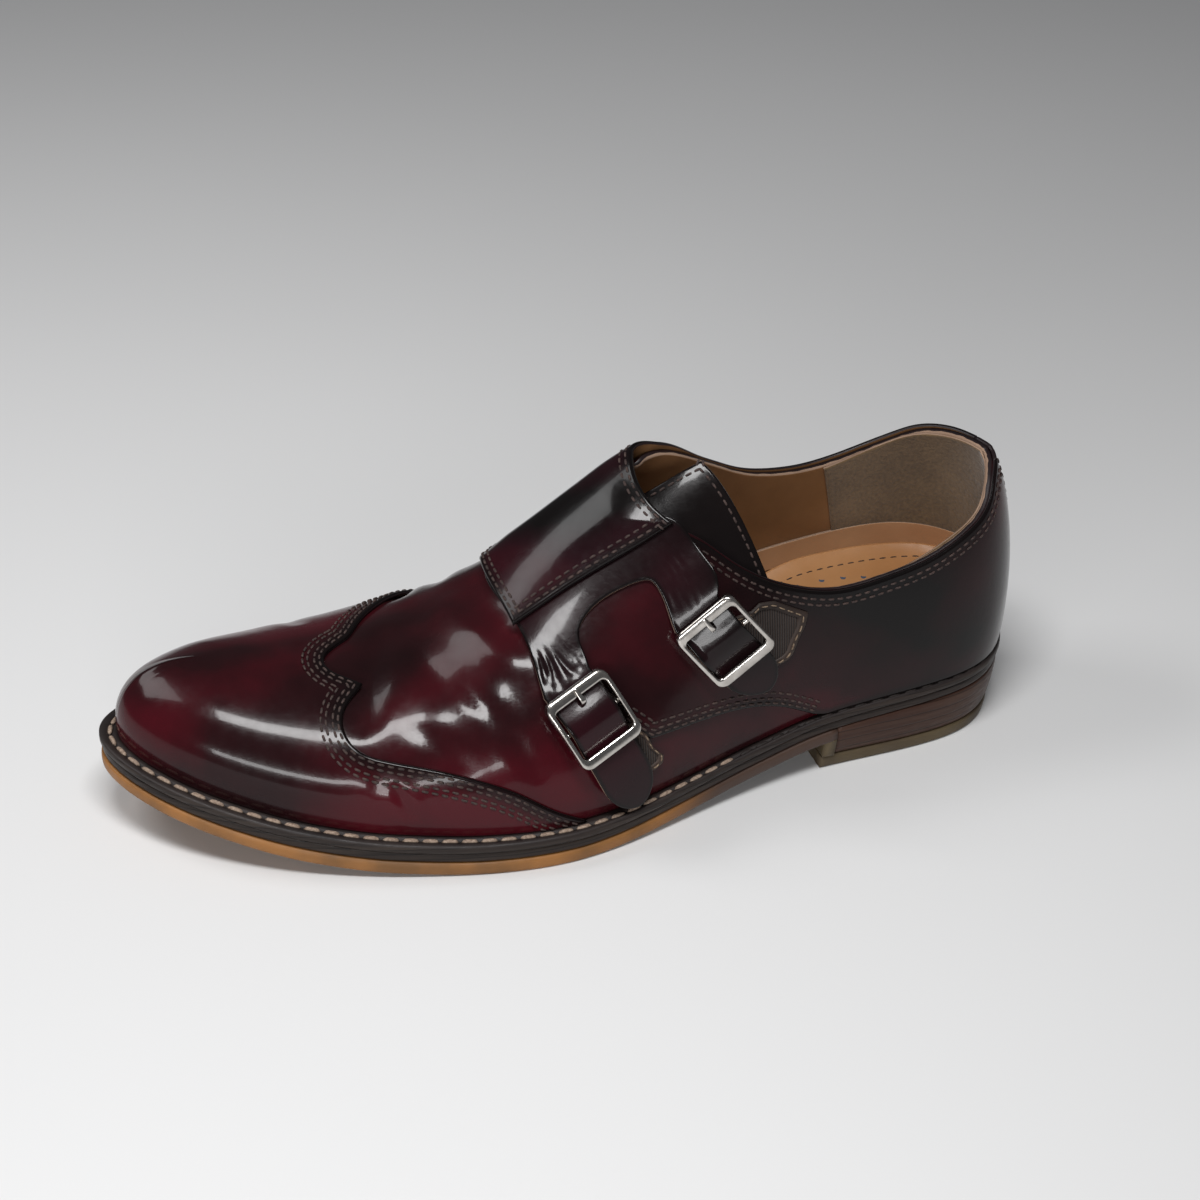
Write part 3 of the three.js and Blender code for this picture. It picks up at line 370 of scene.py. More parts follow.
def last_point(side, walk, height):
    """A point of the last: a curve with two handles from the feather line at a share of the walk
    up to the ridge beside it, in the upright plane through both."""
    side, walk, height = np.broadcast_arrays(side, walk, height)
    position = np.clip(walk, 0, 1) * (SAMPLES - 1)
    i = np.minimum(position.astype(int), SAMPLES - 2)
    mix = (position - i)[..., None]
    both = FEATHER[:, i] * (1 - mix) + FEATHER[:, i + 1] * mix
    foot = np.where((side == OUTER)[..., None], both[OUTER], both[INNER])
    middle = both[..., 0].mean(axis=0)
    share = RIDGE_START + (RIDGE_END - RIDGE_START) * (middle - FEATHER_X[0]) / (FEATHER_X[1] - FEATHER_X[0])
    step = SLOPE_STEP
    slope = (ridge_height(share + step) - ridge_height(share - step)) / (2 * step * LENGTH)
    ridge_x, ridge_y, ridge_z = share * LENGTH, BALL_WIDTH * follow(RIDGE, "side", share), ridge_height(share)
    shape = [np.where(side == OUTER, follow(SECTIONS[OUTER], c, walk), follow(SECTIONS[INNER], c, walk))
             for c in ("bulge", "low", "high")]
    reach_x, reach_y = foot[..., 0] - ridge_x, foot[..., 1] - ridge_y
    foot_z = seat(foot[..., 0])
    t = np.clip(height, 0, 1)
    w0, w1, w2, w3 = (1 - t) ** 3, 3 * (1 - t) ** 2 * t, 3 * (1 - t) * t**2, t**3
    out = w0 + w1 * (1 + BALL_WIDTH * shape[0] / np.hypot(reach_x, reach_y)) + w2 * shape[2]
    up = w1 * shape[1] + w2 + w3
    lean = reach_x * slope * out * np.maximum(1 - out, 0)
    point = ridge_x + out * reach_x, ridge_y + out * reach_y, foot_z + up * (ridge_z - foot_z) + lean
    return np.stack(point, axis=-1)


def own_normal(side, walk, height):
    """Outward direction from the steps along and up one side of the last."""
    step = NORMAL_STEP
    behind, before = np.maximum(walk - step, 0), np.minimum(walk + step, 1)
    below, above = np.maximum(height - step, 0), np.minimum(height + step, 1)
    ahead = last_point(side, before, height) - last_point(side, behind, height)
    up = last_point(side, walk, above) - last_point(side, walk, below)
    return unit(np.cross(up, ahead)) * np.where(side == OUTER, 1.0, -1.0)[..., None]


def last_normal(side, walk, height):
    """Outward direction of the last, shared between the two sides near where they meet."""
    side, walk, height = np.broadcast_arrays(side, walk, height)
    own, other = own_normal(side, walk, height), own_normal(1 - side, walk, height)
    from_seam = np.minimum(np.minimum(walk, 1 - walk), 1 - height)
    share = 0.5 * (1 - smoothstep(from_seam, 0, SEAM_BLEND))[..., None]
    normal = own * (1 - share) + other * share
    level = (height < 1e-6)[..., None]
    return unit(np.where(level, normal * np.array([1, 1, 0]), normal))


def over(places, away=0.0, raised=True):
    """Points over places of the last, a distance away from it. What stands on the welt is raised
    clear of it, less and less towards the ridge."""
    walk, across = places[..., 0], places[..., 1]
    side = (across > 1).astype(int)
    height = np.where(side == OUTER, across, 2 - across)
    foot = last_point(side, walk, height)
    point = foot + last_normal(side, walk, height) * np.broadcast_to(away, walk.shape)[..., None]
    if raised:
        climb = np.maximum(seat(point[..., 0]) - seat(foot[..., 0]), 0)
        point[..., 2] += (GAP + climb) * (1 - height)
    return point


def outward(places):
    """Outward directions at places of the last."""
    walk, across = places[..., 0], places[..., 1]
    side = (across > 1).astype(int)
    return last_normal(side, walk, np.where(side == OUTER, across, 2 - across))


def crossing(values, at):
    """First position along the last axis where values turn positive, or the last position."""
    positive = values > 0
    found = positive.any(axis=-1)
    i = np.clip(np.where(found, positive.argmax(axis=-1), values.shape[-1] - 1), 1, None)
    low = np.take_along_axis(values, i[..., None] - 1, -1)[..., 0]
    high = np.take_along_axis(values, i[..., None], -1)[..., 0]
    share = np.where(found, np.clip(low / np.where(low == high, 1, low - high), 0, 1), 1)
    return at[i - 1] + share * (at[i] - at[i - 1])


# Longest step of the search for a place, in shares
FURTHEST_STEP = 0.02


def find(side, axes, targets, off=lambda places: 0.0, origin=(0, 0, 0)):
    """Places on one side whose points, off the last by a distance, read the targets along two
    axes: the nearest of a coarse net, then Newton steps. The misses come with them."""
    axes, targets = np.asarray(axes, float), np.atleast_2d(np.asarray(targets, float))

    def read(walk, height):
        places = np.stack([walk, height if side == OUTER else 2 - height], axis=-1)
        return (over(places, off(places)) - np.asarray(origin)) @ axes.T

    walks, heights = np.meshgrid(np.linspace(0, 1, 101), np.linspace(0.001, 0.999, 51), indexing="ij")
    net = read(walks, heights).reshape(-1, 2)
    nearest = ((net[None] - targets[:, None]) ** 2).sum(-1).argmin(1)
    walk, height = walks.ravel()[nearest], heights.ravel()[nearest]
    for _ in range(8):
        walk_step, height_step = np.where(walk > 0.5, -1e-3, 1e-3), np.where(height > 0.5, -1e-3, 1e-3)
        here = read(walk, height)
        by_walk = (read(walk + walk_step, height) - here) / walk_step[:, None]
        by_height = (read(walk, height + height_step) - here) / height_step[:, None]
        miss = targets - here
        area = by_walk[:, 0] * by_height[:, 1] - by_walk[:, 1] * by_height[:, 0]
        area = np.where(np.abs(area) < 1, np.where(area < 0, -1.0, 1.0), area)
        to_walk = (miss[:, 0] * by_height[:, 1] - miss[:, 1] * by_height[:, 0]) / area
        to_height = (by_walk[:, 0] * miss[:, 1] - by_walk[:, 1] * miss[:, 0]) / area
        walk = np.clip(walk + np.clip(to_walk, -FURTHEST_STEP, FURTHEST_STEP), 0, 1)
        height = np.clip(height + np.clip(to_height, -FURTHEST_STEP, FURTHEST_STEP), 0, 1)
    miss = np.linalg.norm(targets - read(walk, height), axis=1)
    return np.stack([walk, height if side == OUTER else 2 - height], axis=1), miss


def drawn(shares):
    """Points of a line in the side view, from its shares to millimetres along and up."""
    return np.asarray(shares, float) * (LENGTH, CONE_HEIGHT) + (0, SEAT_THICK)


# How far a point of a drawn line may lie off the side that it is looked for on
MISS_ALLOWED = 0.6


def side_places(side, shares, off=lambda places: 0.0, count=60):
    """Places under a smooth line drawn in the side view, where it meets that side."""
    places, miss = find(side, SIDE_VIEW, drawn(smooth(shares, count)), off)
    return places[miss < MISS_ALLOWED]


# Millimetres that a whole walk, and the way from feather line to ridge, stand for
SPREAD = np.array([300.0, 95.0])


def through(*parts, count=120):
    """Smooth curve through places, measured with both shares taken as millimetres."""
    places = np.concatenate([np.atleast_2d(part) for part in parts])
    return smooth(places * SPREAD, count) / SPREAD


def joined(*parts, count=160):
    """Straight joins between runs of places, at equal steps."""
    return evenly(np.concatenate([np.atleast_2d(part) for part in parts]) * SPREAD, count) / SPREAD


def read_edge(edge, shares):
    """Places at shares of an edge's real length."""
    at = walked(over(edge))
    return read_at(edge, at, shares * at[-1])


def crowded(count, by=0.85):
    """Shares from 0 to 1 that lie closer together near both ends."""
    t = np.linspace(0, 1, count)
    return t - by * np.sin(2 * np.pi * t) / (2 * np.pi)


def four_sided(bottom, top, left, right, wide, tall):
    """Places inside four edges: the two long edges ruled together, plus the two short ones, less
    their corners. Long edges run from left to right, short ones from bottom to top."""
    u, v = crowded(wide, 0.7)[:, None, None], crowded(tall)[None, :, None]
    low, high = read_edge(bottom, u.ravel())[:, None], read_edge(top, u.ravel())[:, None]
    start, end = read_edge(left, v.ravel())[None], read_edge(right, v.ravel())[None]
    corners = (1 - u) * ((1 - v) * low[0, 0] + v * high[0, 0]) + u * ((1 - v) * low[-1, 0] + v * high[-1, 0])
    return (1 - v) * low + v * high + (1 - u) * start + u * end - corners


BESIDE_STEP = 1.5


def beside(edge, width, off=0.0):
    """An edge moved sideways over the last, to the right of its run seen from outside."""
    steps = max(int(np.ceil(abs(width) / BESIDE_STEP)), 1)
    edge = edge.copy()
    for _ in range(steps):
        here = over(edge, off, raised=False)
        ahead = unit(np.gradient(here, axis=0))
        sideways = unit(np.cross(ahead, outward(edge))) * width / steps
        step = 1e-3
        way = np.where(edge > (0.5, 1.0), -step, step)
        by_walk = (over(edge + way * (1, 0), off, raised=False) - here) / way[:, :1]
        by_across = (over(edge + way * (0, 1), off, raised=False) - here) / way[:, 1:]
        ww, wa, aa = (by_walk**2).sum(1), (by_walk * by_across).sum(1), (by_across**2).sum(1)
        ws, as_ = (by_walk * sideways).sum(1), (by_across * sideways).sum(1)
        area = ww * aa - wa**2
        edge = edge + np.stack([(ws * aa - as_ * wa) / area, (as_ * ww - ws * wa) / area], axis=1)
        edge = np.clip(edge, (0, 0), (1, 2))
    return edge


# Points measured at once
AT_ONCE = 8000


def distance(points, lines):
    """Distance of points to the nearest of some lines of straight pieces."""
    flat = points.reshape(-1, 3)
    best = np.full(len(flat), np.inf)
    for line in lines:
        start, piece = line[:-1], np.diff(line, axis=0)
        size = np.maximum((piece**2).sum(1), 1e-9)
        for i in range(0, len(flat), AT_ONCE):
            p = flat[i:i + AT_ONCE]
            dot = p @ piece.T - (start * piece).sum(1)
            t = np.clip(dot / size, 0, 1)
            square = (p**2).sum(1)[:, None] + (start**2).sum(1) - 2 * p @ start.T - 2 * t * dot + t * t * size
            best[i:i + AT_ONCE] = np.minimum(best[i:i + AT_ONCE], square.min(1))
    return np.sqrt(np.maximum(best, 0)).reshape(points.shape[:-1])


# Meshes


HEEL_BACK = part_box("welt")[0].x
MIDDLE = (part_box("back_strip")[0].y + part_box("back_strip")[1].y) / 2


def to_frame(points):
    return np.asarray(points) / 1000 + (HEEL_BACK, MIDDLE, 0)


def make(name, points, faces, materials, picks=None, marks=None, weld=2e-6):
    """Mesh from points in millimetres and four-cornered faces, welded and facing outwards. Picks
    give each face its material, and marks are named numbers on the points."""
    mesh = bpy.data.meshes.new(name)
    points, faces = to_frame(points.reshape(-1, 3)), np.asarray(faces).reshape(-1, 4)
    mesh.vertices.add(len(points))
    mesh.vertices.foreach_set("co", points.ravel())
    mesh.loops.add(faces.size)
    mesh.loops.foreach_set("vertex_index", faces.ravel())
    mesh.polygons.add(len(faces))
    mesh.polygons.foreach_set("loop_start", np.arange(0, faces.size, 4))
    if picks is not None:
        mesh.polygons.foreach_set("material_index", picks)
    for mark, values in (marks or {}).items():
        attribute = mesh.attributes.new(mark, "FLOAT", "POINT")
        attribute.data.foreach_set("value", np.asarray(values, float).ravel())
    mesh.update()
    for material in materials:
        mesh.materials.append(material)
    work = bmesh.new()
    work.from_mesh(mesh)
    bmesh.ops.remove_doubles(work, verts=work.verts, dist=weld)
    bmesh.ops.recalc_face_normals(work, faces=work.faces)
    bmesh.ops.delete(work, geom=[vert for vert in work.verts if not vert.link_faces], context="VERTS")
    for face in work.faces:
        face.smooth = True
    work.to_mesh(mesh)
    work.free()
    piece = bpy.data.objects.new(name, mesh)
    bpy.context.scene.collection.objects.link(piece)
    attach(piece, "root")
    return piece


def net(wide, tall, start=0, closed=False):
    """Four-cornered faces of a grid of points, numbered column by column."""
    i, j = np.meshgrid(np.arange(wide if closed else wide - 1), np.arange(tall - 1), indexing="ij")
    ahead = (i + 1) % wide
    faces = np.stack([i * tall + j, ahead * tall + j, ahead * tall + j + 1, i * tall + j + 1], axis=-1)
    return faces.reshape(-1, 4) + start


def net_around(long, around):
    """Faces of a grid of points whose rows close round on themselves."""
    i, k = np.meshgrid(np.arange(long - 1), np.arange(around), indexing="ij")
    near, far, ahead = i * around, (i + 1) * around, (k + 1) % around
    return np.stack([near + k, far + k, far + ahead, near + ahead], axis=-1).reshape(-1, 4)


def rim(wide, tall):
    """Numbers of the points round a grid, in turn."""
    number = np.arange(wide * tall).reshape(wide, tall)
    return np.concatenate([number[:-1, 0], number[-1, :-1], number[:0:-1, -1], number[0, :0:-1]])


def shell_faces(wide, tall):
    """Faces of an outer grid, an inner grid and the rim between them. The picks are 0, 2 and 1."""
    outer, inner = net(wide, tall), net(wide, tall, wide * tall)
    ring = rim(wide, tall)
    ahead = np.roll(ring, -1)
    edge = np.stack([ring, ring + wide * tall, ahead + wide * tall, ahead], axis=1)
    picks = np.repeat([0, 2, 1], [len(outer), len(inner), len(edge)])
    return np.concatenate([outer, inner, edge]), picks


def one_list(*grids):
    """Points of several grids in one list."""
    return np.concatenate([grid.reshape(-1, 3) for grid in grids])


def quarter_round(edge, reach):
    """Fall of a quarter round beside an edge: 1 at the edge, and 0 from its reach on."""
    return 1 - np.sqrt(1 - (1 - np.clip(edge / reach, 0, 1)) ** 2)


def leather(name, places, thick, base, cuts, materials, relief, raised=True, roll=0.9, fall=0.55):
    """Leather sheet over a grid of places. Its top rolls down towards the cut edges, by a quarter
    round, and carries a relief given as a function of the points and their distance to the edge."""
    base = base(places) if callable(base) else np.full(places.shape[:-1], float(base))
    level = over(places, base + thick, raised)
    sides = {"end": level[-1], "low": level[:, 0], "high": level[:, -1]}
    edge = distance(level, [sides[cut] for cut in cuts])
    top = base + thick * (1 - fall * quarter_round(edge, roll)) + relief(places, level, edge)
    points = one_list(over(places, top, raised), over(places, base, raised))
    faces, picks = shell_faces(*places.shape[:2])
    return make(name, points, faces, materials, picks, {"edge": np.tile(edge.ravel(), 2)})


def beads(rows, pitch, long, wide, high, sunk):
    """Threads of stitches: each is a round-ended bead. Its radius along the run is a root of one
    less the cube of the share from its middle, and its ends bow down into the leather."""
    stations, around = 7, 6
    u = np.linspace(-1, 1, stations)
    turn = np.arange(around) * 2 * np.pi / around
    radius = np.sqrt(1 - np.abs(u) ** 3)[:, None]
    along = np.broadcast_to((u * long / 2)[:, None], (stations, around))
    side = radius * np.cos(turn) * wide / 2
    rise = radius * np.sin(turn) * high / 2 + high * (0.5 - sunk) - 0.5 * high * (u**4)[:, None]
    points = []
    for line, normals in rows:
        at = walked(line)
        count = max(int(at[-1] / pitch), 1)
        middle = (np.arange(count) + 0.5) * at[-1] / count
        centre = read_at(line, at, middle)
        ahead = unit(read_at(line, at, middle + long / 2) - read_at(line, at, middle - long / 2))
        out = unit(read_at(normals, at, middle))
        across = unit(np.cross(out, ahead))
        out = np.cross(ahead, across)
        points.append(
            centre[:, None, None] + along[None, ..., None] * ahead[:, None, None]
            + side[None, ..., None] * across[:, None, None] + rise[None, ..., None] * out[:, None, None]
        )
    points = np.concatenate(points)
    one = net_around(stations, around)
    faces = (np.arange(len(points)) * stations * around)[:, None, None] + one
    return points.reshape(-1, 3), faces.reshape(-1, 4)


def stitches(name, rows, thread, pitch=2.9, long=2.45, wide=0.78, high=0.7, sunk=0.3):
    points, faces = beads(rows, pitch, long, wide, high, sunk)
    return make(name, points, faces, [thread])


# Finishes


class Finish:
    """A material of nodes that read the object's own coordinates or marks."""

    def __init__(self, name, **values):
        self.material = bpy.data.materials.new(name)
        self.material.use_nodes = True
        self.tree = self.material.node_tree
        self.shader = self.tree.nodes["Principled BSDF"]
        for socket, value in values.items():
            self.shader.inputs[socket.replace("_", " ")].default_value = value
        self.coordinates = self.add("ShaderNodeTexCoord").outputs["Object"]

    def add(self, kind, **values):
        node = self.tree.nodes.new(kind)
        for key, value in values.items():
            if hasattr(node, key):
                setattr(node, key, value)
            else:
                node.inputs[key].default_value = value
        return node

    def link(self, start, end):
        self.tree.links.new(start, end)

    def noise(self, scale, detail=3.0, stretch=None, distortion=0.0):
        node = self.add("ShaderNodeTexNoise", Scale=scale, Detail=detail, Distortion=distortion)
        self.link(self.stretched(stretch), node.inputs["Vector"])
        return node.outputs["Fac"]

    def stretched(self, stretch):
        if stretch is None:
            return self.coordinates
        mapping = self.add("ShaderNodeMapping")
        mapping.inputs["Scale"].default_value = stretch
        self.link(self.coordinates, mapping.inputs["Vector"])
        return mapping.outputs["Vector"]

    def mark(self, name):
        return self.add("ShaderNodeAttribute", attribute_name=name).outputs["Fac"]

    def ramp(self, value, *stops):
        """Value turned into numbers or colours between stops (position, number or colour)."""
        node = self.add("ShaderNodeValToRGB")
        self.link(value, node.inputs["Fac"])
        elements = node.color_ramp.elements
        while len(elements) < len(stops):
            elements.new(0.5)
        for element, (position, colour) in zip(elements, stops):
            element.position = position
            element.color = (*colour, 1) if isinstance(colour, tuple) else (colour, colour, colour, 1)
        return node.outputs["Color"]

    def scaled(self, value, low, high):
        """Value turned from low..high into 0..1."""
        node = self.add("ShaderNodeMapRange")
        node.inputs["From Min"].default_value = low
        node.inputs["From Max"].default_value = high
        self.link(value, node.inputs["Value"])
        return node.outputs["Result"]

    def mix(self, share, one, two, mode="MIX"):
        node = self.add("ShaderNodeMix", data_type="RGBA", blend_type=mode)
        for value, socket in ((share, node.inputs[0]), (one, node.inputs[6]), (two, node.inputs[7])):
            if isinstance(value, (int, float)):
                socket.default_value = value
            elif isinstance(value, tuple):
                socket.default_value = (*value, 1)
            else:
                self.link(value, socket)
        return node.outputs[2]

    def sum(self, *terms):
        """Sum of terms (value, weight)."""
        total = None
        for value, weight in terms:
            node = self.add("ShaderNodeMath", operation="MULTIPLY_ADD")
            self.link(value, node.inputs[0])
            node.inputs[1].default_value = weight
            node.inputs[2].default_value = 0.0
            if total is not None:
                self.link(total, node.inputs[2])
            total = node.outputs[0]
        return total

    def colour(self, value):
        self.link(value, self.shader.inputs["Base Color"])

    def roughness(self, value):
        self.link(value, self.shader.inputs["Roughness"])

    def bump(self, value, strength, depth):
        node = self.add("ShaderNodeBump", Strength=strength, Distance=depth)
        self.link(value, node.inputs["Height"])
        self.link(node.outputs["Normal"], self.shader.inputs["Normal"])


def polished_leather(name, red, deep, black, amount=0.5, reach=3.5):
    """Brush-off leather: wine red under a dark top coat that gathers at edges and in drifts."""
    finish = Finish(name, Coat_Weight=0.28, Coat_Roughness=0.07, Coat_IOR=1.4, Specular_IOR_Level=0.14)
    drift = finish.noise(13, 2.5, (0.7, 1.3, 1.3), 0.6)
    cloud = finish.noise(48, 4)
    grain = finish.noise(1500, 2)
    pores = finish.noise(420, 3)
    drifts = finish.sum((drift, 0.8), (cloud, 0.2))
    body = finish.ramp(drifts, (amount - 0.13, black), (amount, deep), (amount + 0.16, red))
    from_edge = finish.scaled(finish.mark("edge"), 0, reach)
    near_edge = finish.ramp(from_edge, (0.0, 1.0), (0.45, 0.75), (1.0, 0.0))
    finish.colour(finish.mix(near_edge, body, black))
    finish.roughness(finish.ramp(finish.sum((cloud, 0.6), (pores, 0.4)), (0.3, 0.13), (0.75, 0.3)))
    finish.bump(finish.sum((pores, 0.7), (grain, 0.3), (cloud, 1.5)), 0.12, 0.0004)
    return finish.material


def plain_leather(name, colour, dark, rough, scale=220, strength=0.25, depth=0.0003, blotch=30):
    """Unpolished leather: two near colours in blotches under a fine grain."""
    finish = Finish(name, Specular_IOR_Level=0.35)
    blotches = finish.noise(blotch, 4)
    grain = finish.noise(scale, 4)
    finish.colour(finish.mix(finish.ramp(blotches, (0.35, 0.0), (0.65, 1.0)), dark, colour))
    finish.roughness(finish.ramp(grain, (0.3, rough - 0.08), (0.7, rough + 0.1)))
    finish.bump(finish.sum((grain, 1.0), (blotches, 0.6)), strength, depth)
    return finish.material


def forepart_tan(name, colour, dark, waist):
    """Outsole leather: tan under the forepart, in blotches, and stained brown in the waist."""
    finish = Finish(name, Specular_IOR_Level=0.35)
    blotches, grain = finish.noise(60, 4), finish.noise(180, 4)
    along = finish.add("ShaderNodeSeparateXYZ")
    finish.link(finish.coordinates, along.inputs[0])
    tan = finish.mix(finish.ramp(blotches, (0.35, 0.0), (0.65, 1.0)), dark, colour)
    ahead = finish.ramp(finish.scaled(along.outputs["X"], -0.035, -0.01), (0.0, 0.0), (1.0, 1.0))
    finish.colour(finish.mix(ahead, waist, tan))
    finish.roughness(finish.ramp(grain, (0.3, 0.42), (0.7, 0.6)))
    finish.bump(finish.sum((grain, 1.0), (blotches, 0.6)), 0.2, 0.0004)
    return finish.material


def suede(name, colour, dark):
    """Napped leather: short fibres in a fine noise, with a sheen."""
    finish = Finish(name, Specular_IOR_Level=0.15, Sheen_Weight=0.5, Sheen_Roughness=0.5, Roughness=0.95)
    nap = finish.noise(900, 5)
    worn = finish.noise(45, 3)
    share = finish.ramp(finish.sum((nap, 0.5), (worn, 0.5)), (0.38, 0.0), (0.62, 1.0))
    finish.colour(finish.mix(share, dark, colour))
    finish.bump(nap, 0.6, 0.0005)
    return finish.material


# Scale of a banded wave whose bands would be a metre apart
BAND_SCALE = 0.314


def stacked(name, colour, dark, streak, layer):
    """Edge of stacked leather: level layers, a line between each, and long streaks."""
    finish = Finish(name, Specular_IOR_Level=0.2)
    streaks = finish.noise(60, 5, (0.6, 0.6, 9))
    fine = finish.noise(500, 3, (0.5, 0.5, 3))
    wave = finish.add("ShaderNodeTexWave", wave_type="BANDS", bands_direction="Z", Distortion=0.4, Detail=1.0)
    wave.inputs["Scale"].default_value = BAND_SCALE / layer
    finish.link(finish.coordinates, wave.inputs["Vector"])
    line = finish.ramp(wave.outputs["Fac"], (0.0, 1.0), (0.06, 0.0))
    body = finish.mix(finish.ramp(streaks, (0.35, 0.0), (0.7, 1.0)), colour, streak)
    finish.colour(finish.mix(line, body, dark))
    finish.roughness(finish.ramp(fine, (0.3, 0.32), (0.7, 0.55)))
    finish.bump(finish.sum((streaks, 0.5), (fine, 0.5), (line, -0.6)), 0.25, 0.0004)
    return finish.material


def ribbed_elastic(name):
    """Elastic webbing: fine upright ribs with knitted cross threads."""
    finish = Finish(name, Specular_IOR_Level=0.2, Sheen_Weight=0.2)
    ribs = finish.add("ShaderNodeTexWave", wave_type="BANDS", bands_direction="X", Scale=400, Distortion=0.3)
    finish.link(finish.coordinates, ribs.inputs["Vector"])
    threads = finish.noise(900, 2, (0.3, 0.3, 2))
    finish.colour(finish.mix(ribs.outputs["Fac"], (0.008, 0.005, 0.005), (0.04, 0.027, 0.021)))
    finish.roughness(finish.ramp(threads, (0.3, 0.75), (0.7, 0.95)))
    finish.bump(finish.sum((ribs.outputs["Fac"], 1.0), (threads, 0.3)), 0.5, 0.0004)
    return finish.material


def metal(name):
    """Polished nickel with faint brushing and a little haze."""
    finish = Finish(name, Metallic=1.0)
    haze = finish.noise(240, 4)
    hair = finish.noise(700, 2, (1, 6, 1))
    hazy = finish.ramp(haze, (0.35, 0.0), (0.75, 1.0))
    finish.colour(finish.mix(hazy, (0.66, 0.63, 0.59), (0.42, 0.39, 0.36)))
    finish.roughness(finish.ramp(finish.sum((haze, 0.5), (hair, 0.5)), (0.3, 0.12), (0.75, 0.3)))
    finish.bump(hair, 0.05, 0.0001)
    return finish.material


def thread(name, colour, dark):
    """Waxed thread: twisted plies as fine slanting lines."""
    finish = Finish(name, Specular_IOR_Level=0.3)
    ply = finish.noise(1400, 2)
    finish.colour(finish.mix(finish.ramp(ply, (0.35, 0.0), (0.65, 1.0)), dark, colour))
    finish.roughness(finish.ramp(ply, (0.3, 0.55), (0.7, 0.8)))
    finish.bump(ply, 0.4, 0.0002)
    return finish.material


RED, DEEP, BLACK = (0.06, 0.004, 0.008), (0.017, 0.004, 0.005), (0.004, 0.003, 0.003)
vamp_leather = polished_leather("vamp_burgundy", RED, DEEP, BLACK, 0.47)
cap_leather = polished_leather("cap_burgundy", RED, DEEP, BLACK, 0.45, reach=6.0)
quarter_leather = polished_leather("quarter_burgundy", RED, DEEP, BLACK)
flap_leather = polished_leather("flap_burgundy", (0.035, 0.003, 0.006), (0.014, 0.003, 0.005), BLACK)
strap_finish = polished_leather(
    "strap_aubergine", (0.024, 0.004, 0.007), (0.011, 0.004, 0.005), BLACK, 0.52, reach=1.5)
tongue_leather = polished_leather(
    "tongue_black", (0.012, 0.006, 0.007), (0.007, 0.005, 0.005), BLACK, reach=0.8)

ROUGH_CUT = {"rough": 0.85, "scale": 500, "strength": 0.5}
folded_edge = plain_leather("folded_edge_dark", (0.016, 0.008, 0.009), (0.008, 0.005, 0.006), 0.45)
raw_edge = plain_leather("raw_edge_beige", (0.36, 0.25, 0.19), (0.2, 0.12, 0.09), **ROUGH_CUT)
lining = plain_leather("lining_tan", (0.25, 0.125, 0.055), (0.18, 0.088, 0.036), 0.5)
lining_edge = plain_leather("lining_edge", (0.33, 0.22, 0.155), (0.2, 0.125, 0.085), **ROUGH_CUT)
grip_suede = suede("heel_grip_suede", (0.15, 0.093, 0.043), (0.085, 0.05, 0.022))
footbed = plain_leather("footbed_tan", (0.46, 0.235, 0.1), (0.36, 0.17, 0.065), 0.42)
footbed_rim = plain_leather("footbed_rim", (0.52, 0.31, 0.17), (0.42, 0.22, 0.11), 0.6)
perforation = plain_leather("perforation_dark", (0.07, 0.1, 0.15), (0.04, 0.055, 0.08), 0.8)

sole_edge = stacked(
    "sole_edge_dark", (0.022, 0.016, 0.014), (0.006, 0.005, 0.005), (0.038, 0.028, 0.023), layer=0.0021)
heel_leather = stacked(
    "heel_brown", (0.042, 0.019, 0.013), (0.022, 0.011, 0.008), (0.07, 0.036, 0.024), layer=0.0035)
welt_top = plain_leather("welt_dark", (0.028, 0.02, 0.018), (0.012, 0.009, 0.009), 0.5, scale=400)
outsole_tan = forepart_tan(
    "outsole_tan", (0.3, 0.13, 0.035), (0.16, 0.075, 0.024), waist=(0.062, 0.035, 0.025))
breast_brown = plain_leather(
    "breast_olive_brown", (0.105, 0.077, 0.04), (0.065, 0.045,
                                                 0.026), 0.6, scale=180, depth=0.0004, blotch=60)

elastic = ribbed_elastic("elastic_brown")
tab_border = plain_leather("tab_border_brown", (0.045, 0.028, 0.021), (0.022, 0.014, 0.011), 0.6)
nickel = metal("buckle_nickel")
dark_thread = thread("thread_brown", (0.075, 0.048, 0.042), (0.022, 0.015, 0.014))
pale_thread = thread("thread_beige", (0.37, 0.28, 0.215), (0.2, 0.14, 0.105))
tab_thread = thread("tab_thread_beige", (0.26, 0.19, 0.13), (0.12, 0.08, 0.055))
black_thread = thread("thread_black", (0.03, 0.022, 0.02), (0.012, 0.01, 0.009))


# Upper


def topline_height(side, walks, off=0.0, shares=None):
    """Height on the last where its side meets the top line, or another line of the side view, for
    each share of the walk."""
    line = drawn(smooth(shares or TOPLINE[side], 200))
    heights = np.linspace(0.1, 1, 241)
    places = np.stack(np.meshgrid(walks, heights if side == OUTER else 2 - heights, indexing="ij"), axis=-1)
    points = over(places, off)
    return crossing(points[..., 2] - np.interp(points[..., 0], line[:, 0], line[:, 1]), heights)


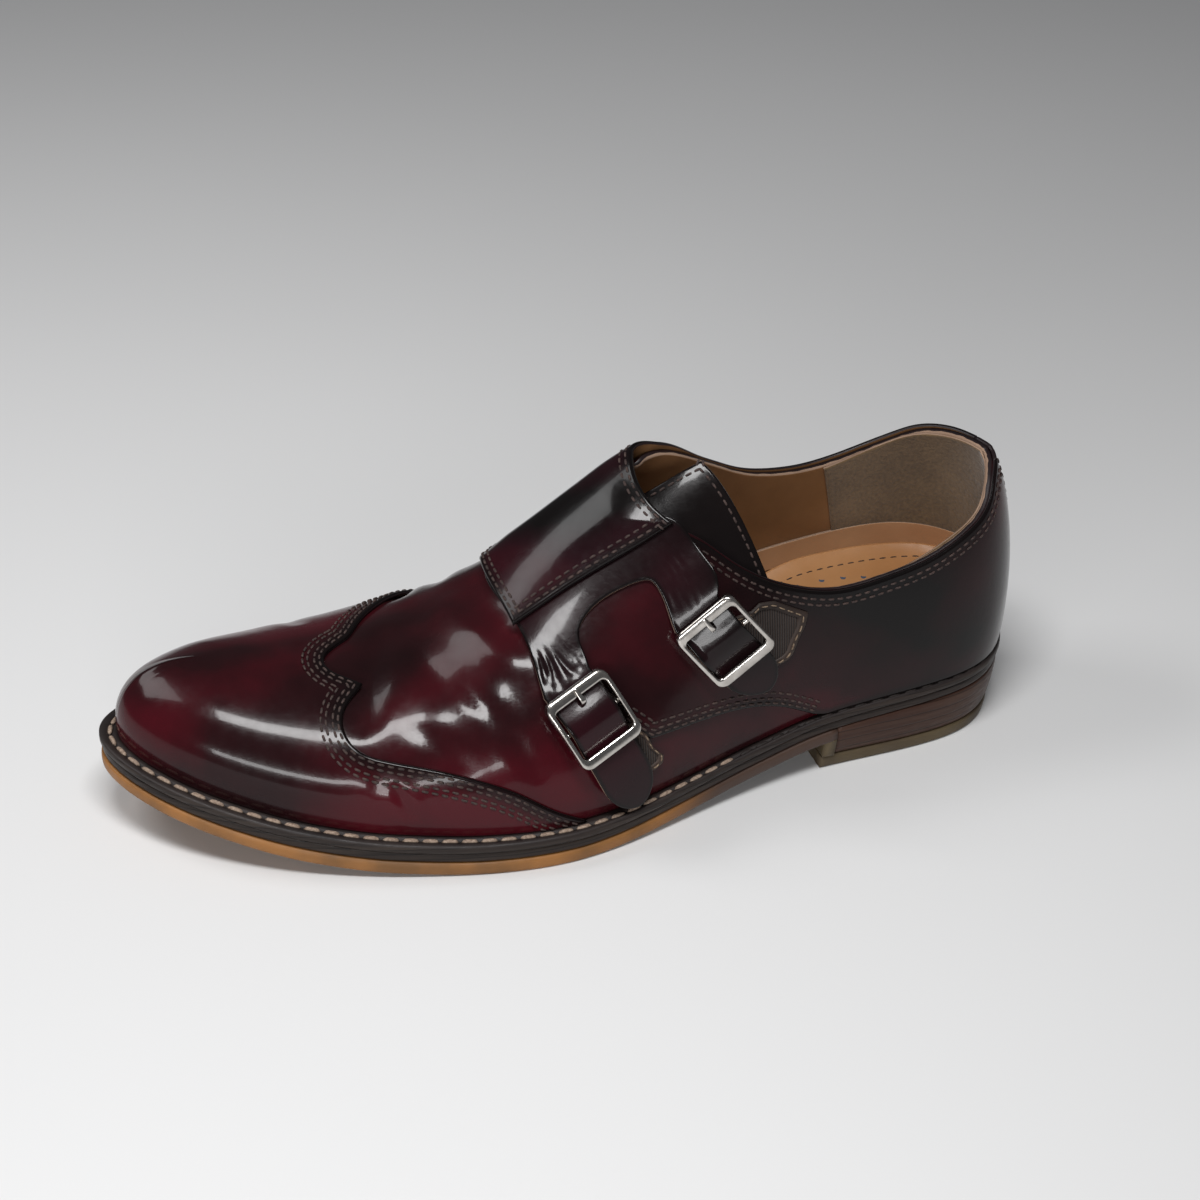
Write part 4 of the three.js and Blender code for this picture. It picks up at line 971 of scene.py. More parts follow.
# Creases of the forepart: places along each, depth and reach in millimetres
CREASES = [
    ([(0.733, 0.98), (0.742, 0.83), (0.748, 0.655), (0.75, 0.51)], 1.1, 4.5),
    ([(0.69, 1.12), (0.7, 0.93), (0.69, 0.75), (0.668, 0.62)], 0.7, 4.0),
    ([(0.66, 0.98), (0.638, 0.8), (0.61, 0.66), (0.586, 0.56)], -0.8, 5.0),
    ([(0.64, 1.1), (0.625, 0.93), (0.6, 0.78)], 0.6, 4.0),
    ([(0.65, 0.62), (0.625, 0.47), (0.603, 0.33), (0.585, 0.2)], 0.55, 2.4),
    ([(0.7, 0.5), (0.672, 0.38), (0.65, 0.27)], 0.45, 3.0),
    ([(0.68, 1.3), (0.67, 1.5), (0.655, 1.7)], 0.8, 4.0),
    ([(0.64, 1.25), (0.63, 1.45), (0.61, 1.66)], 0.7, 3.2),
    ([(0.605, 0.42), (0.592, 0.32), (0.58, 0.24)], 0.35, 1.2),
    ([(0.59, 0.44), (0.575, 0.33)], 0.25, 1.2),
]
# Shares of the walk, and of the way up from the feather line, over which the vamp's creases set in
CREASED_WALK = (0.5, 0.6)
CREASED_HEIGHT = (0.03, 0.15)

CAP_CREASES = [
    ([(0.836, 1.0), (0.822, 0.86), (0.81, 0.7)], 0.35, 2.2),
    ([(0.72, 0.24), (0.71, 0.16), (0.7, 0.08)], 0.4, 1.6),
    ([(0.745, 0.4), (0.735, 0.3), (0.73, 0.2)], 0.3, 2.6),
    ([(0.8, 1.25), (0.795, 1.4), (0.79, 1.55)], 0.3, 3.0),
]


def creased(creases):
    """Relief of creases: each is a trough with a swelling on both sides, fading at its ends."""
    def relief(places, points, edge):
        total = np.zeros(points.shape[:-1])
        for spots, depth, reach in creases:
            line = over(through(spots, count=40), 1.5)
            from_line = distance(points, [line])
            ends = np.linalg.norm(points - line[0], axis=-1), np.linalg.norm(points - line[-1], axis=-1)
            size = walked(line)[-1]
            fade = smoothstep(size * 1.15 - np.maximum(*ends), 0, size * 0.35)
            trough = np.exp(-((from_line / reach) ** 2))
            swell = np.exp(-(((from_line - 2.1 * reach) / (1.2 * reach)) ** 2))
            total += fade * depth * (0.45 * swell - trough)
        return total
    return relief


# The collar's rim: how much of its width is the folded outer leather, how far the line to the raw
# lining wanders, and how far the rim is crowned, in millimetres
FOLD_SHARE = 0.66
FOLD_WANDER = 0.1
RIM_CROWN = 0.25

# Distance from an edge, in millimetres, that stands for none near
NO_EDGE = 50.0


def upper_shell():
    """Vamp and lining as one wall: columns round the last from heel to toe on the inner side and
    back on the outer, each from the feather line to the top line or the ridge."""
    wide, tall = 190, 70
    walks = np.linspace(0, 1, wide)
    climb = crowded(tall, 0.35)
    before_flap = [spot for spot in TOPLINE[INNER] if spot[0] < LINING_FROM]
    lines = TOPLINE[OUTER], before_flap + LINING_END
    grid, top = [], []
    for side in (INNER, OUTER):
        high = topline_height(side, walks, 0.0, lines[side])
        height = high[:, None] * climb
        across = height if side == OUTER else 2 - height
        places = np.stack([np.broadcast_to(walks[:, None], height.shape), across], axis=-1)
        grid.append(places if side == INNER else places[::-1])
        top.append(high if side == INNER else high[::-1])
    places, top = np.concatenate(grid), np.concatenate(top)
    from_edge = np.minimum(places[..., 1], 2 - places[..., 1])
    fade = smoothstep(places[..., 0], *CREASED_WALK) * smoothstep(from_edge, *CREASED_HEIGHT)
    relief = creased(CREASES)(places, over(places), None) * fade
    outer, inner = over(places, relief), over(places, relief - UPPER_WALL)
    count = len(places)
    skin, wall = net(count, tall, 0, True), net(count, tall, count * tall, True)
    at = np.arange(count)
    ahead = (at + 1) % count
    low = np.stack([at * tall, ahead * tall, (ahead + count) * tall, (at + count) * tall], axis=1)
    mirror = count - 1 - at
    open_top = np.minimum(top, top[mirror]) < 1
    bare = open_top[at] | open_top[ahead]
    high = low[bare] + tall - 1
    between = 2 * count * tall
    folded = np.stack([high[:, 0], high[:, 1], between + ahead[bare], between + at[bare]], axis=1)
    raw = np.stack([between + at[bare], between + ahead[bare], high[:, 2], high[:, 3]], axis=1)
    share = FOLD_SHARE + FOLD_WANDER * np.sin(at * 1.7) * np.sin(at * 0.43 + 1)
    seam = outer[:, -1] + (inner[:, -1] - outer[:, -1]) * share[:, None] + (0, 0, RIM_CROWN)
    faces = np.concatenate([skin, wall, low, folded, raw])
    picks = np.repeat([0, 1, 1, 3, 2], [len(skin), len(wall), len(low), len(folded), len(raw)])
    marks = {"edge": np.full(between + count, NO_EDGE)}
    finishes = [vamp_leather, lining, lining_edge, folded_edge]
    points = one_list(outer, inner, seam)
    piece = make("upper_vamp_and_lining", points, faces, finishes, picks, marks, weld=2e-5)
    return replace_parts(piece, "upper")


def wing_walks(across):
    """Share of the walk where the toe cap begins, for each way across the last."""
    line = np.concatenate([through(arm) for arm in WING])
    return np.interp(across, line[:, 1], line[:, 0])


def toe_cap():
    """Cap from its winged edge to the tip of the toe: across the last by rows, each from the edge
    to the toe, closed where the two sides meet there."""
    wide, tall = 240, 100
    across = np.concatenate([np.linspace(0, 1, wide // 2 + 1), np.linspace(1, 2, wide // 2 + 1)[1:]])
    start = wing_walks(across)
    share = np.linspace(0, 1, tall)
    share = (0.35 * share + 0.65 * share**2.2)[None]
    walk = start[:, None] + (1 - start[:, None]) * share
    places = np.stack([walk, np.broadcast_to(across[:, None], walk.shape)], axis=-1)
    finishes = [cap_leather, folded_edge, raw_edge]
    piece = leather("toe_cap_wing", places, CAP_THICK, GAP, ["low"], finishes, creased(CAP_CREASES))
    wing = np.stack([start, across], axis=1)
    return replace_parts(piece, "toe_cap"), wing


def strip_edge(side, count=60):
    """Places up one edge of the back strip, from the feather line to the top line."""
    half = STRIP_WIDTH / 2 + GAP
    heights = np.linspace(0, 1, count)
    walks = np.linspace(0, 0.15, 120)
    across = heights if side == OUTER else 2 - heights
    places = np.stack(np.meshgrid(across, walks, indexing="ij")[::-1], axis=-1)
    line = crossing(np.abs(over(places, GAP)[..., 1]) - half, walks)
    top = topline_height(side, np.array([line[count // 2]]), GAP)[0]
    height = heights * top
    walk = np.interp(height, heights, line)
    return np.stack([walk, height if side == OUTER else 2 - height], axis=1)


def feather_run(side, start, end_x):
    """Places along the feather line from a walk to a station."""
    walks = np.linspace(start, 1, 400)
    foot = last_point(side, walks, 0.0)
    walks = walks[foot[:, 0] < end_x]
    return np.stack([walks, np.full(len(walks), 0.0 if side == OUTER else 2.0)], axis=1)


def top_run(side, start, end_x, off):
    """Places along the top line from a walk to a station."""
    walks = np.linspace(start, 0.6, 240)
    high = topline_height(side, walks, off)
    places = np.stack([walks, high if side == OUTER else 2 - high], axis=1)
    return places[over(places, off)[:, 0] < end_x]


def quarter_relief(places, points, edge):
    """Soft rolls of worn leather: slow waves along the side, none at the edges."""
    wave = 0.16 * np.sin(points[..., 0] / 9.0) * np.sin(points[..., 2] / 13.0 + 1.0)
    return wave * smoothstep(edge, 1.0, 9.0)


# Stations where the arch seam leaves the feather line, and where each top line is left
ARCH_START = LENGTH * 0.252
OUTER_TOP_END = LENGTH * 0.424
INNER_TOP_END = LENGTH * 0.4


def outer_quarter():
    off = lambda places: GAP + QUARTER_THICK
    left = strip_edge(OUTER)
    seam = side_places(OUTER, ARCH_SEAM, off)
    seam = seam[seam[:, 1] > 0.012]
    front = side_places(OUTER, OUTER_FRONT, off)
    bottom = joined(feather_run(OUTER, left[0, 0], ARCH_START), seam, front[:1])
    top = joined(top_run(OUTER, left[-1, 0], OUTER_TOP_END, GAP + QUARTER_THICK), front[-1:])
    places = four_sided(bottom, top, left, front, 190, 90)
    piece = leather("quarter_outer", places, QUARTER_THICK, GAP, ["low", "high", "end"],
                    [quarter_leather, folded_edge, raw_edge], quarter_relief)
    seams = {"arch": joined(seam, front[:1]), "front": front, "top": top}
    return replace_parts(piece, "quarter_lateral"), seams


# Shares of the walk between which the flap's lift sets in behind the straps and ahead of them, and
# the way across the last over which it fades out
LIFT_BEHIND = (0.3, 0.41)
LIFT_AHEAD = (0.65, 0.8)
LIFT_ACROSS = (0.97, 1.17)


def flap_base(places):
    """Distance of the flap off the last: against it inside, lifted over the strap outside."""
    walk, across = places[..., 0], places[..., 1]
    near = smoothstep(walk, *LIFT_BEHIND) * (1 - smoothstep(walk, *LIFT_AHEAD))
    lifted = near * (1 - smoothstep(across, *LIFT_ACROSS))
    return GAP + lifted * (3 * GAP + QUARTER_THICK + STRAP_THICK)


def flap_top(places):
    return flap_base(places) + FLAP_THICK


def flap_relief(places, points, edge):
    """The flap's soft swelling along its length and two slack waves."""
    walk, across = places[..., 0], places[..., 1]
    on_flap = smoothstep(walk, 0.36, 0.44) * smoothstep(1.5 - across, 0, 0.4)
    slack = 0.35 * np.sin(points[..., 0] / 10.5 + points[..., 1] / 16.0)
    return (0.5 + slack) * on_flap * smoothstep(edge, 1.0, 12.0) + quarter_relief(places, points, edge)


def inner_quarter():
    """Inner quarter and the flap that it carries over the instep, as one sheet: from the back
    strip along the feather line, the arch seam and the flap's front edge, and back along the
    top line and the flap's rear edge."""
    left = strip_edge(INNER)
    seam = side_places(INNER, ARCH_SEAM, flap_top)
    seam = seam[seam[:, 1] < 1.988]
    front = side_places(INNER, INNER_FRONT, flap_top)
    walks = np.linspace(0.5, 0.7, 200)
    ridge = np.stack([walks, np.ones(200)], axis=1)
    ridge = ridge[np.abs(over(ridge, flap_top(ridge))[:, 0] - FLAP_RIDGE * LENGTH).argmin()][None]
    line = drawn(np.linspace(FLAP_REAR[-1], FLAP_CORNER, 40))
    right = find(OUTER, SIDE_VIEW, line, flap_top)[0][::-1]
    front_edge = through(front[::12], ridge, right[:1])
    bottom = joined(feather_run(INNER, left[0, 0], ARCH_START), seam, front_edge)
    rear = find(OUTER, SIDE_VIEW, drawn(FLAP_REAR), flap_top)[0]
    top_line = top_run(INNER, left[-1, 0], INNER_TOP_END, GAP + FLAP_THICK)
    rear_edge = through(top_line[-1:], rear)
    top = joined(top_line, rear_edge)
    places = four_sided(bottom, top, left, right, 260, 100)
    piece = leather("quarter_inner_with_flap", places, FLAP_THICK, flap_base, ["low", "high", "end"],
                    [flap_leather, folded_edge, lining], flap_relief)
    seams = {"arch": seam, "front": front_edge, "rear": rear_edge, "side": right, "top": top_line}
    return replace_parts(piece, "quarter_medial"), seams


# Reach and depth of the back strip's rounded edges: millimetres and share of its thickness
STRIP_ROLL = 0.9
STRIP_FALL = 0.55


def back_strip():
    """Strip up the heel's seam, from one side over the middle to the other."""
    half = STRIP_WIDTH / 2
    tall = 60
    columns = []
    for side, shares in ((INNER, np.linspace(1, 0, 9)), (OUTER, np.linspace(0, 1, 9)[1:])):
        edge = strip_edge(side, tall)
        for share in shares:
            walk = edge[:, 0] * share * half / (half + GAP)
            high = topline_height(side, walk[-1:], GAP)[0]
            height = np.linspace(0, high, tall)
            columns.append(np.stack([walk, height if side == OUTER else 2 - height], axis=1))
    places = np.array(columns)
    under = over(places, GAP)
    edge = (1 - np.abs(np.linspace(-1, 1, len(columns)))) * half
    edge = np.broadcast_to(edge[:, None], under.shape[:2])
    share = 1 - STRIP_FALL * quarter_round(edge, STRIP_ROLL)
    top = under + (over(places, GAP + STRIP_THICK) - under) * share[..., None]
    faces, picks = shell_faces(*top.shape[:2])
    piece = make("back_strip_leather", one_list(top, under), faces,
                 [quarter_leather, folded_edge, folded_edge], picks, {"edge": np.tile(edge.ravel(), 2)})
    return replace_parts(piece, "back_strip")


# Buckles and straps


HALF_STRAP = (BUCKLE_WIDTH - 2 * SIDE_BAR) / 2 - STRAP_PLAY


def buckle_place(walk, height, run, twist, tip):
    """Foot of a buckle on the last, its middle, the way its strap runs, across it towards the toe
    and outwards. A twisted one stands off the last at its heel side."""
    foot = last_point(OUTER, np.array(walk), np.array(height))
    flat_out = last_normal(OUTER, np.array(walk), np.array(height))
    along = np.array([run[0], 0, run[1]])
    along = unit(along - flat_out * (along @ flat_out))
    turn = np.radians(twist)
    out = flat_out * np.cos(turn) + np.cross(along, flat_out) * np.sin(turn)
    return {"foot": foot, "centre": foot + flat_out * HALF_STRAP * np.tan(turn), "out": out, "along": along,
            "across": np.cross(along, out), "slope": np.tan(turn), "tip": tip}


PLACES = {name: buckle_place(**row) for name, row in BUCKLES.items()}
STRAP_TOP = 2 * GAP + QUARTER_THICK + STRAP_RISE + STRAP_THICK
BAR_BOTTOM = STRAP_TOP + GAP + BUCKLE_CLEARANCE
BAR_TOP = BAR_BOTTOM + BAR_THICK
CENTRE_BAR = 3 * GAP + QUARTER_THICK + TAB_THICK + BAR_RADIUS
HOLE_ALONG = -HUMP_REACH


def on_buckle(place, across, along, out):
    """Points in a buckle's own axes, bent round the side of the shoe along the strap."""
    out = out - along**2 / (2 * BUCKLE_BEND)
    return (place["centre"] + across[..., None] * place["across"] + along[..., None] * place["along"]
            + out[..., None] * place["out"])


def strap_place(points):
    """Where points lie in the nearer buckle's axes: along the strap, across it, and which."""
    local = [((points - place["foot"]) @ place["along"], (points - place["foot"]) @ place["across"])
             for place in PLACES.values()]
    lower = np.abs(local[0][1]) < np.abs(local[1][1])
    return np.where(lower, local[0][0], local[1][0]), np.where(lower, local[0][1], local[1][1]), lower


# Shares of the buckle's length, ahead of its middle, between which the strap climbs over the tab,
# and between which it turns into a twisted buckle; how far across, in half widths, it goes on lifting
CLIMB_ALONG = (-0.8, -0.4)
TWIST_ALONG = (-1.1, -0.5)
TWIST_ACROSS = 2.4


def strap_base(places):
    """Distance of the strap off the last: up over the tab and over the buckle's centre bar, and
    off the quarter towards the heel where its buckle is twisted."""
    along, across, lower = strap_place(over(places, 0, False))
    share = along / BUCKLE_LENGTH
    slope = np.where(lower, PLACES["lower"]["slope"], PLACES["upper"]["slope"])
    lifted = np.clip(HALF_STRAP - across, 0, TWIST_ACROSS * HALF_STRAP)
    turned = lifted * slope * smoothstep(share, *TWIST_ALONG)
    climb = STRAP_RISE * smoothstep(share, *CLIMB_ALONG)
    return 2 * GAP + QUARTER_THICK + climb + turned + STRAP_HUMP * np.exp(-((along / HUMP_REACH) ** 2))


def strap_top(places):
    return strap_base(places) + STRAP_THICK


# Wrinkles of the straps, in fans: along and across at the middle, turn in degrees, then how these
# three change from one wrinkle to the next, count, half length, depth and reach
WRINKLES = {
    "lower": [
        (-13.6, -1, 4, -1.25, 0.9, 2.5, 7, 7, 0.3, 0.45),
        (-13.2, 4, -14, -1.6, -0.4, -3, 5, 4, 0.22, 0.4),
        (-14.5, -5, 22, -1.7, 0.2, 5, 5, 4, 0.22, 0.4),
    ],
    "upper": [
        (-27, 6.5, 52, -0.4, -1.7, 6, 8, 9, 0.16, 0.6),
        (-22, 5, 60, 0.9, -2.3, 5, 5, 6, 0.1, 0.5),
        (-15, 0, 4, -2.2, 0.6, 3, 2, 6, 0.1, 0.5),
    ],
}


def strap_relief(places, points, edge):
    """Wrinkles as troughs with a swelling beside them, and the bulge inside the buckle's window."""
    along, across, lower = strap_place(points)
    total = np.zeros(along.shape)
    for name, own in (("lower", lower), ("upper", ~lower)):
        for start, aside, turn, further, shift, swing, count, half, depth, reach in WRINKLES[name]:
            for i in range(count):
                angle = np.radians(turn + i * swing)
                from_middle, from_line = along - start - i * further, across - aside - i * shift
                run = from_line * np.cos(angle) + from_middle * np.sin(angle)
                off = from_middle * np.cos(angle) - from_line * np.sin(angle)
                fade = own * smoothstep(half - np.abs(run), 0, half * 0.6)
                swell = 0.6 * np.exp(-((off / reach - 1.7) ** 2))
                total += fade * depth * (swell - np.exp(-((off / reach) ** 2)))
    window = np.exp(-((along / 7.0) ** 2)) * (1 - (across / HALF_STRAP) ** 2).clip(0)
    return total * smoothstep(edge, 0, 1.0) + 0.35 * window


def leg_edge(name, sign, stations):
    """Places along one edge of a strap's leg; its tip is blunt and rounded."""
    place = PLACES[name]
    past = np.clip((stations - (place["tip"] - TIP_TAPER)) / TIP_TAPER, 0, 1)
    half = HALF_STRAP * (1 - past**2.4) ** 0.6
    targets = np.stack([sign * half, stations], axis=1)
    return find(OUTER, (place["across"], place["along"]), targets, strap_top, place["foot"])[0]


# Where each leg's straight edges begin, in millimetres from its buckle's middle
LEG_START = {"lower": -13.0, "upper": -12.0}


def straps():
    """Both straps and the yoke that joins them under the flap, as one band bent into a U: ruled
    from the edge round the cut-out to the outer edge, and closed at both tips."""
    def stations(name, first):
        tip = PLACES[name]["tip"]
        return tip - (tip - first) * (1 - np.cos(np.linspace(0, np.pi / 2, 60)))
    lower, upper = stations("lower", LEG_START["lower"]), stations("upper", LEG_START["upper"])
    cut = find(OUTER, SIDE_VIEW, drawn(STRAP_CUT), strap_top)[0]
    yoke = find(OUTER, SIDE_VIEW, drawn(YOKE_OUTER), strap_top)[0]
    inner_legs = leg_edge("lower", -1, lower), leg_edge("upper", 1, upper)[::-1]
    outer_legs = leg_edge("lower", 1, lower), leg_edge("upper", -1, upper)[::-1]
    inner_bend = through(inner_legs[0][-1:], cut, inner_legs[1][:1], count=62)[1:-1]
    outer_bend = through(outer_legs[0][-1:], yoke, outer_legs[1][:1], count=62)[1:-1]
    inner = np.concatenate([inner_legs[0], inner_bend, inner_legs[1]])
    outer = np.concatenate([outer_legs[0], outer_bend, outer_legs[1]])
    v = crowded(44)[None, :, None]
    places = inner[:, None] * (1 - v) + outer[:, None] * v
    piece = leather("strap_pair", places, STRAP_THICK, strap_base, ["low", "high"],
                    [strap_finish, raw_edge, raw_edge], strap_relief, raised=False, roll=0.5, fall=0.25)
    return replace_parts(piece, "straps")


def rounded_rectangle(wide, tall, corner, count=9):
    """Outline with round corners, the same number of points on each corner and side."""
    turn = np.linspace(0, np.pi / 2, count)
    line = []
    for k, (sx, sy) in enumerate([(1, 1), (-1, 1), (-1, -1), (1, -1)]):
        angle = turn + k * np.pi / 2
        middle = sx * (wide / 2 - corner), sy * (tall / 2 - corner)
        line.append(middle + corner * np.stack([np.cos(angle), np.sin(angle)], axis=1))
    closed = []
    for k in range(4):
        closed.append(line[k])
        start, end = line[k][-1], line[(k + 1) % 4][0]
        closed.append(start + (end - start) * np.linspace(0, 1, 12)[1:-1, None])
    return np.concatenate(closed)


# Section of the buckle's bars, from the outer foot over the top to the window's foot: share of the
# bar's width, then how far below its top, where more than a half counts on the side bars' full depth
BAR_SECTION = table(
    "across fall",
    (0.08, 1), (0, 0.9), (0, 0.3), (0.07, 0.06), (0.25, 0), (0.5, 0), (0.75, 0), (0.93, 0.06), (1, 0.3),
    (1, 0.9), (0.92, 1),
)
BAR_CROWN = 0.12


def buckle(name):
    """Frame with flat bars and rounded edges: a section carried round between two rounded
    rectangles. Its side bars are deeper than its end bars."""
    place = PLACES[name]
    outer = rounded_rectangle(BUCKLE_WIDTH, BUCKLE_LENGTH, BUCKLE_CORNER)
    window = rounded_rectangle(BUCKLE_WIDTH - 2 * SIDE_BAR, BUCKLE_LENGTH - 2 * END_BAR, BUCKLE_CORNER / 2)
    from_side = BUCKLE_WIDTH / 2 - np.abs(outer[:, 0])
    on_side = 1 - smoothstep(from_side, 0.6 * SIDE_BAR, 2 * SIDE_BAR)
    depth = BAR_THICK + on_side * (BUCKLE_DEPTH - BAR_THICK)
    share, fall = BAR_SECTION["across"], BAR_SECTION["fall"]
    line = outer[:, None] * (1 - share[None, :, None]) + window[:, None] * share[None, :, None]
    top = BAR_TOP + BAR_CROWN * (1 - (2 * share - 1) ** 2)
    height = top[None] - np.where(fall > 0.5, fall * depth[:, None], fall * BAR_THICK)
    points = on_buckle(place, line[..., 0], line[..., 1], height)
    faces = net(len(outer), len(share), 0, True)
    first = np.arange(len(outer)) * len(share)
    ahead = np.roll(first, -1)
    back = np.stack([first, first + len(share) - 1, ahead + len(share) - 1, ahead], axis=1)
    piece = make(f"buckle_frame_{name}", points, np.concatenate([faces, back]), [nickel])
    bar = tube(place, np.linspace(-1, 1, 15) * (BUCKLE_WIDTH / 2 - SIDE_BAR / 2), BAR_RADIUS)
    bar = make(f"buckle_bar_{name}", *bar, [nickel])
    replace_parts(bar, f"buckle_{name}")
    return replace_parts(piece, f"buckle_{name}")


def tube(place, across, radius, around=16):
    """Round bar across the strap with closed ends."""
    turn = np.arange(around) * 2 * np.pi / around
    size = np.full(len(across), radius)
    across = np.concatenate([across[:1], across, across[-1:]])
    size = np.concatenate([[0], size, [0]])
    a = np.broadcast_to(across[:, None], (len(across), around))
    points = on_buckle(place, a, size[:, None] * np.cos(turn), CENTRE_BAR + size[:, None] * np.sin(turn))
    return points, net_around(len(across), around)


# How far the prong's tip stays short of the frame's outer edge
PRONG_SHORT = 0.4


def squared(wave):
    """A sine or cosine pushed out towards the corners of a square."""
    return np.abs(wave) ** 0.6 * np.sign(wave)


def prong(name):
    """Flat pin that rises through the strap and lies on the first bar, slimmer to its tip."""
    place = PLACES[name]
    stations, around = 40, 14
    tip = -BUCKLE_LENGTH / 2 + PRONG_SHORT
    lift = BAR_TOP + BAR_CROWN + PRONG_THICK / 2
    path = smooth([(HOLE_ALONG + 0.8, CENTRE_BAR), (HOLE_ALONG + 0.2, STRAP_TOP + 0.5),
                   (HOLE_ALONG - 1.2, lift - 0.1), (HOLE_ALONG - 3, lift + 0.05), (tip, lift)], stations)
    share = np.linspace(0, 1, stations)
    blunt = np.sqrt(np.clip(1 - share**12, 0, 1))
    wide = PRONG_WIDTH / 2 * (1 - 0.35 * share**2) * blunt
    thick = PRONG_THICK / 2 * (1 - 0.25 * share) * blunt
    wide[0], thick[0] = 0, 0
    turn = np.arange(around) * 2 * np.pi / around
    ahead = unit(np.gradient(path, axis=0))
    across = wide[:, None] * squared(np.cos(turn))
    rise = thick[:, None] * squared(np.sin(turn))
    along = path[:, :1] - ahead[:, 1:] * rise
    out = path[:, 1:] + ahead[:, :1] * rise
    points = on_buckle(place, across, along, out)
    piece = make(f"buckle_prong_{name}", points, net_around(stations, around), [nickel])
    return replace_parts(piece, f"prong_{name}")


# Section of a tab from its edge to its middle: share of the way, share of its thickness. The first
# rows are its leather border, and its stitches run at a share of the way
TAB_SECTION = table(
    "inwards rise",
    (0, 0.3), (0.03, 0.8), (0.08, 1), (0.14, 1), (0.19, 0.95), (0.2, 0.45), (0.22, 0.4), (0.4, 0.4),
    (0.7, 0.4), (1, 0.4),
)
TAB_BORDER_ROWS = 5
TAB_STITCH_SHARE = 0.11


def tab(name, outline):
    """Elastic tab under a strap: rows shrink from its outline to its middle. Its leather border is
    a raised band inside the outline."""
    base = 2 * GAP + QUARTER_THICK
    edge = joined(outline, outline[:1], count=121)[:-1]
    centre = edge.mean(axis=0)
    share = TAB_SECTION["inwards"]
    places = edge[:, None] * (1 - share[None, :, None]) + centre * share[None, :, None]
    points = over(places, base + TAB_SECTION["rise"][None] * TAB_THICK)
    under = over(places, base)
    count = len(share)
    top, low = net(len(edge), count, 0, True), net(len(edge), count, len(edge) * count, True)
    first = np.arange(len(edge)) * count
    ahead = np.roll(first, -1)
    rim_faces = np.stack([first, ahead, ahead + len(edge) * count, first + len(edge) * count], axis=1)
    ring = np.tile(np.where(np.arange(count - 1) < TAB_BORDER_ROWS, 1, 0), len(edge))
    picks = np.concatenate([ring, ring, np.full(len(edge), 2)])
    faces = np.concatenate([top, low, rim_faces])
    finishes = [elastic, tab_border, folded_edge]
    piece = make(f"tab_{name}_elastic", one_list(points, under), faces, finishes, picks)
    line = edge * (1 - TAB_STITCH_SHARE) + centre * TAB_STITCH_SHARE
    line = np.concatenate([line, line[:1]])
    row = over(line, base + TAB_THICK), outward(line)
    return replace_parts(piece, f"tab_{name}"), row


# Tongue


# Reach of the tongue's rounded edge, and how far inside it the stitches run
TONGUE_ROLL = 0.8
TONGUE_STITCH = 2.2


def tongue_leaf():
    """Leaf inside the throat that leans to the outer side and stands out behind the flap."""
    wide, tall = 90, 60
    back = (1 - (1 - np.linspace(0, 1, wide)) ** 1.6)[:, None]
    over_share = crowded(tall, 0.7)[None]
    rear = TONGUE["rear_outer"] + over_share * (TONGUE["rear_inner"] - TONGUE["rear_outer"])
    walk = TONGUE["front"] + back * (rear - TONGUE["front"])
    high = TONGUE["high_rear"] + (1 - back) ** 3 * (TONGUE["high_front"] - TONGUE["high_rear"])
    across = TONGUE["low"] + over_share * (high - TONGUE["low"])
    places = np.stack([walk, across], axis=-1)
    top = -UPPER_WALL - TONGUE_CLEARANCE
    base = top - TONGUE_THICK
    level = over(places, top, False)
    edge = distance(level, [level[-1], level[:, 0], level[:, -1]])
    rounded_top = top - 0.5 * TONGUE_THICK * quarter_round(edge, TONGUE_ROLL)
    points = one_list(over(places, rounded_top, False), over(places, base, False))
    faces, picks = shell_faces(wide, tall)
    finishes = [tongue_leather, raw_edge, raw_edge]
    piece = make("tongue_leaf", points, faces, finishes, picks, {"edge": np.tile(edge.ravel(), 2)})
    hidden = wide // 3
    border = joined(places[hidden:, -1], places[-1, ::-1][1:], places[hidden:, 0][::-1][1:], count=200)
    line = beside(border, TONGUE_STITCH, top)
    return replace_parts(piece, "tongue"), [(over(line, top, False), outward(line))]


# Sole


def loop(side_inset, start_x=None, end_x=None):
    """Closed outline moved inwards: out along the outer side to the toe and back along the inner,
    cut square at a station. Each point comes with its middle, inside the outline."""
    lines = [inset(OUTER, side_inset), inset(INNER, side_inset)[::-1]]
    if start_x is not None:
        lines = [line[line[:, 0] >= start_x] for line in lines]
        lines = [with_end(lines[0], start_x, 0), with_end(lines[1], start_x, -1)]
        closing = np.linspace(lines[1][-1], lines[0][0], 14)[1:-1]
        line = np.concatenate([lines[0], lines[1][1:], closing])
    elif end_x is not None:
        lines = [line[line[:, 0] <= end_x] for line in lines]
        lines = [with_end(lines[0], end_x, -1), with_end(lines[1], end_x, 0)]
        closing = np.linspace(lines[0][-1], lines[1][0], 14)[1:-1]
        line = np.concatenate([lines[0], closing, lines[1][:-1]])
    else:
        line = np.concatenate([lines[0], lines[1][1:-1]])
    return line


def with_end(line, x, where):
    """The line with its first or last point moved to a station."""
    line = line.copy()
    line[where, 0] = x
    return line


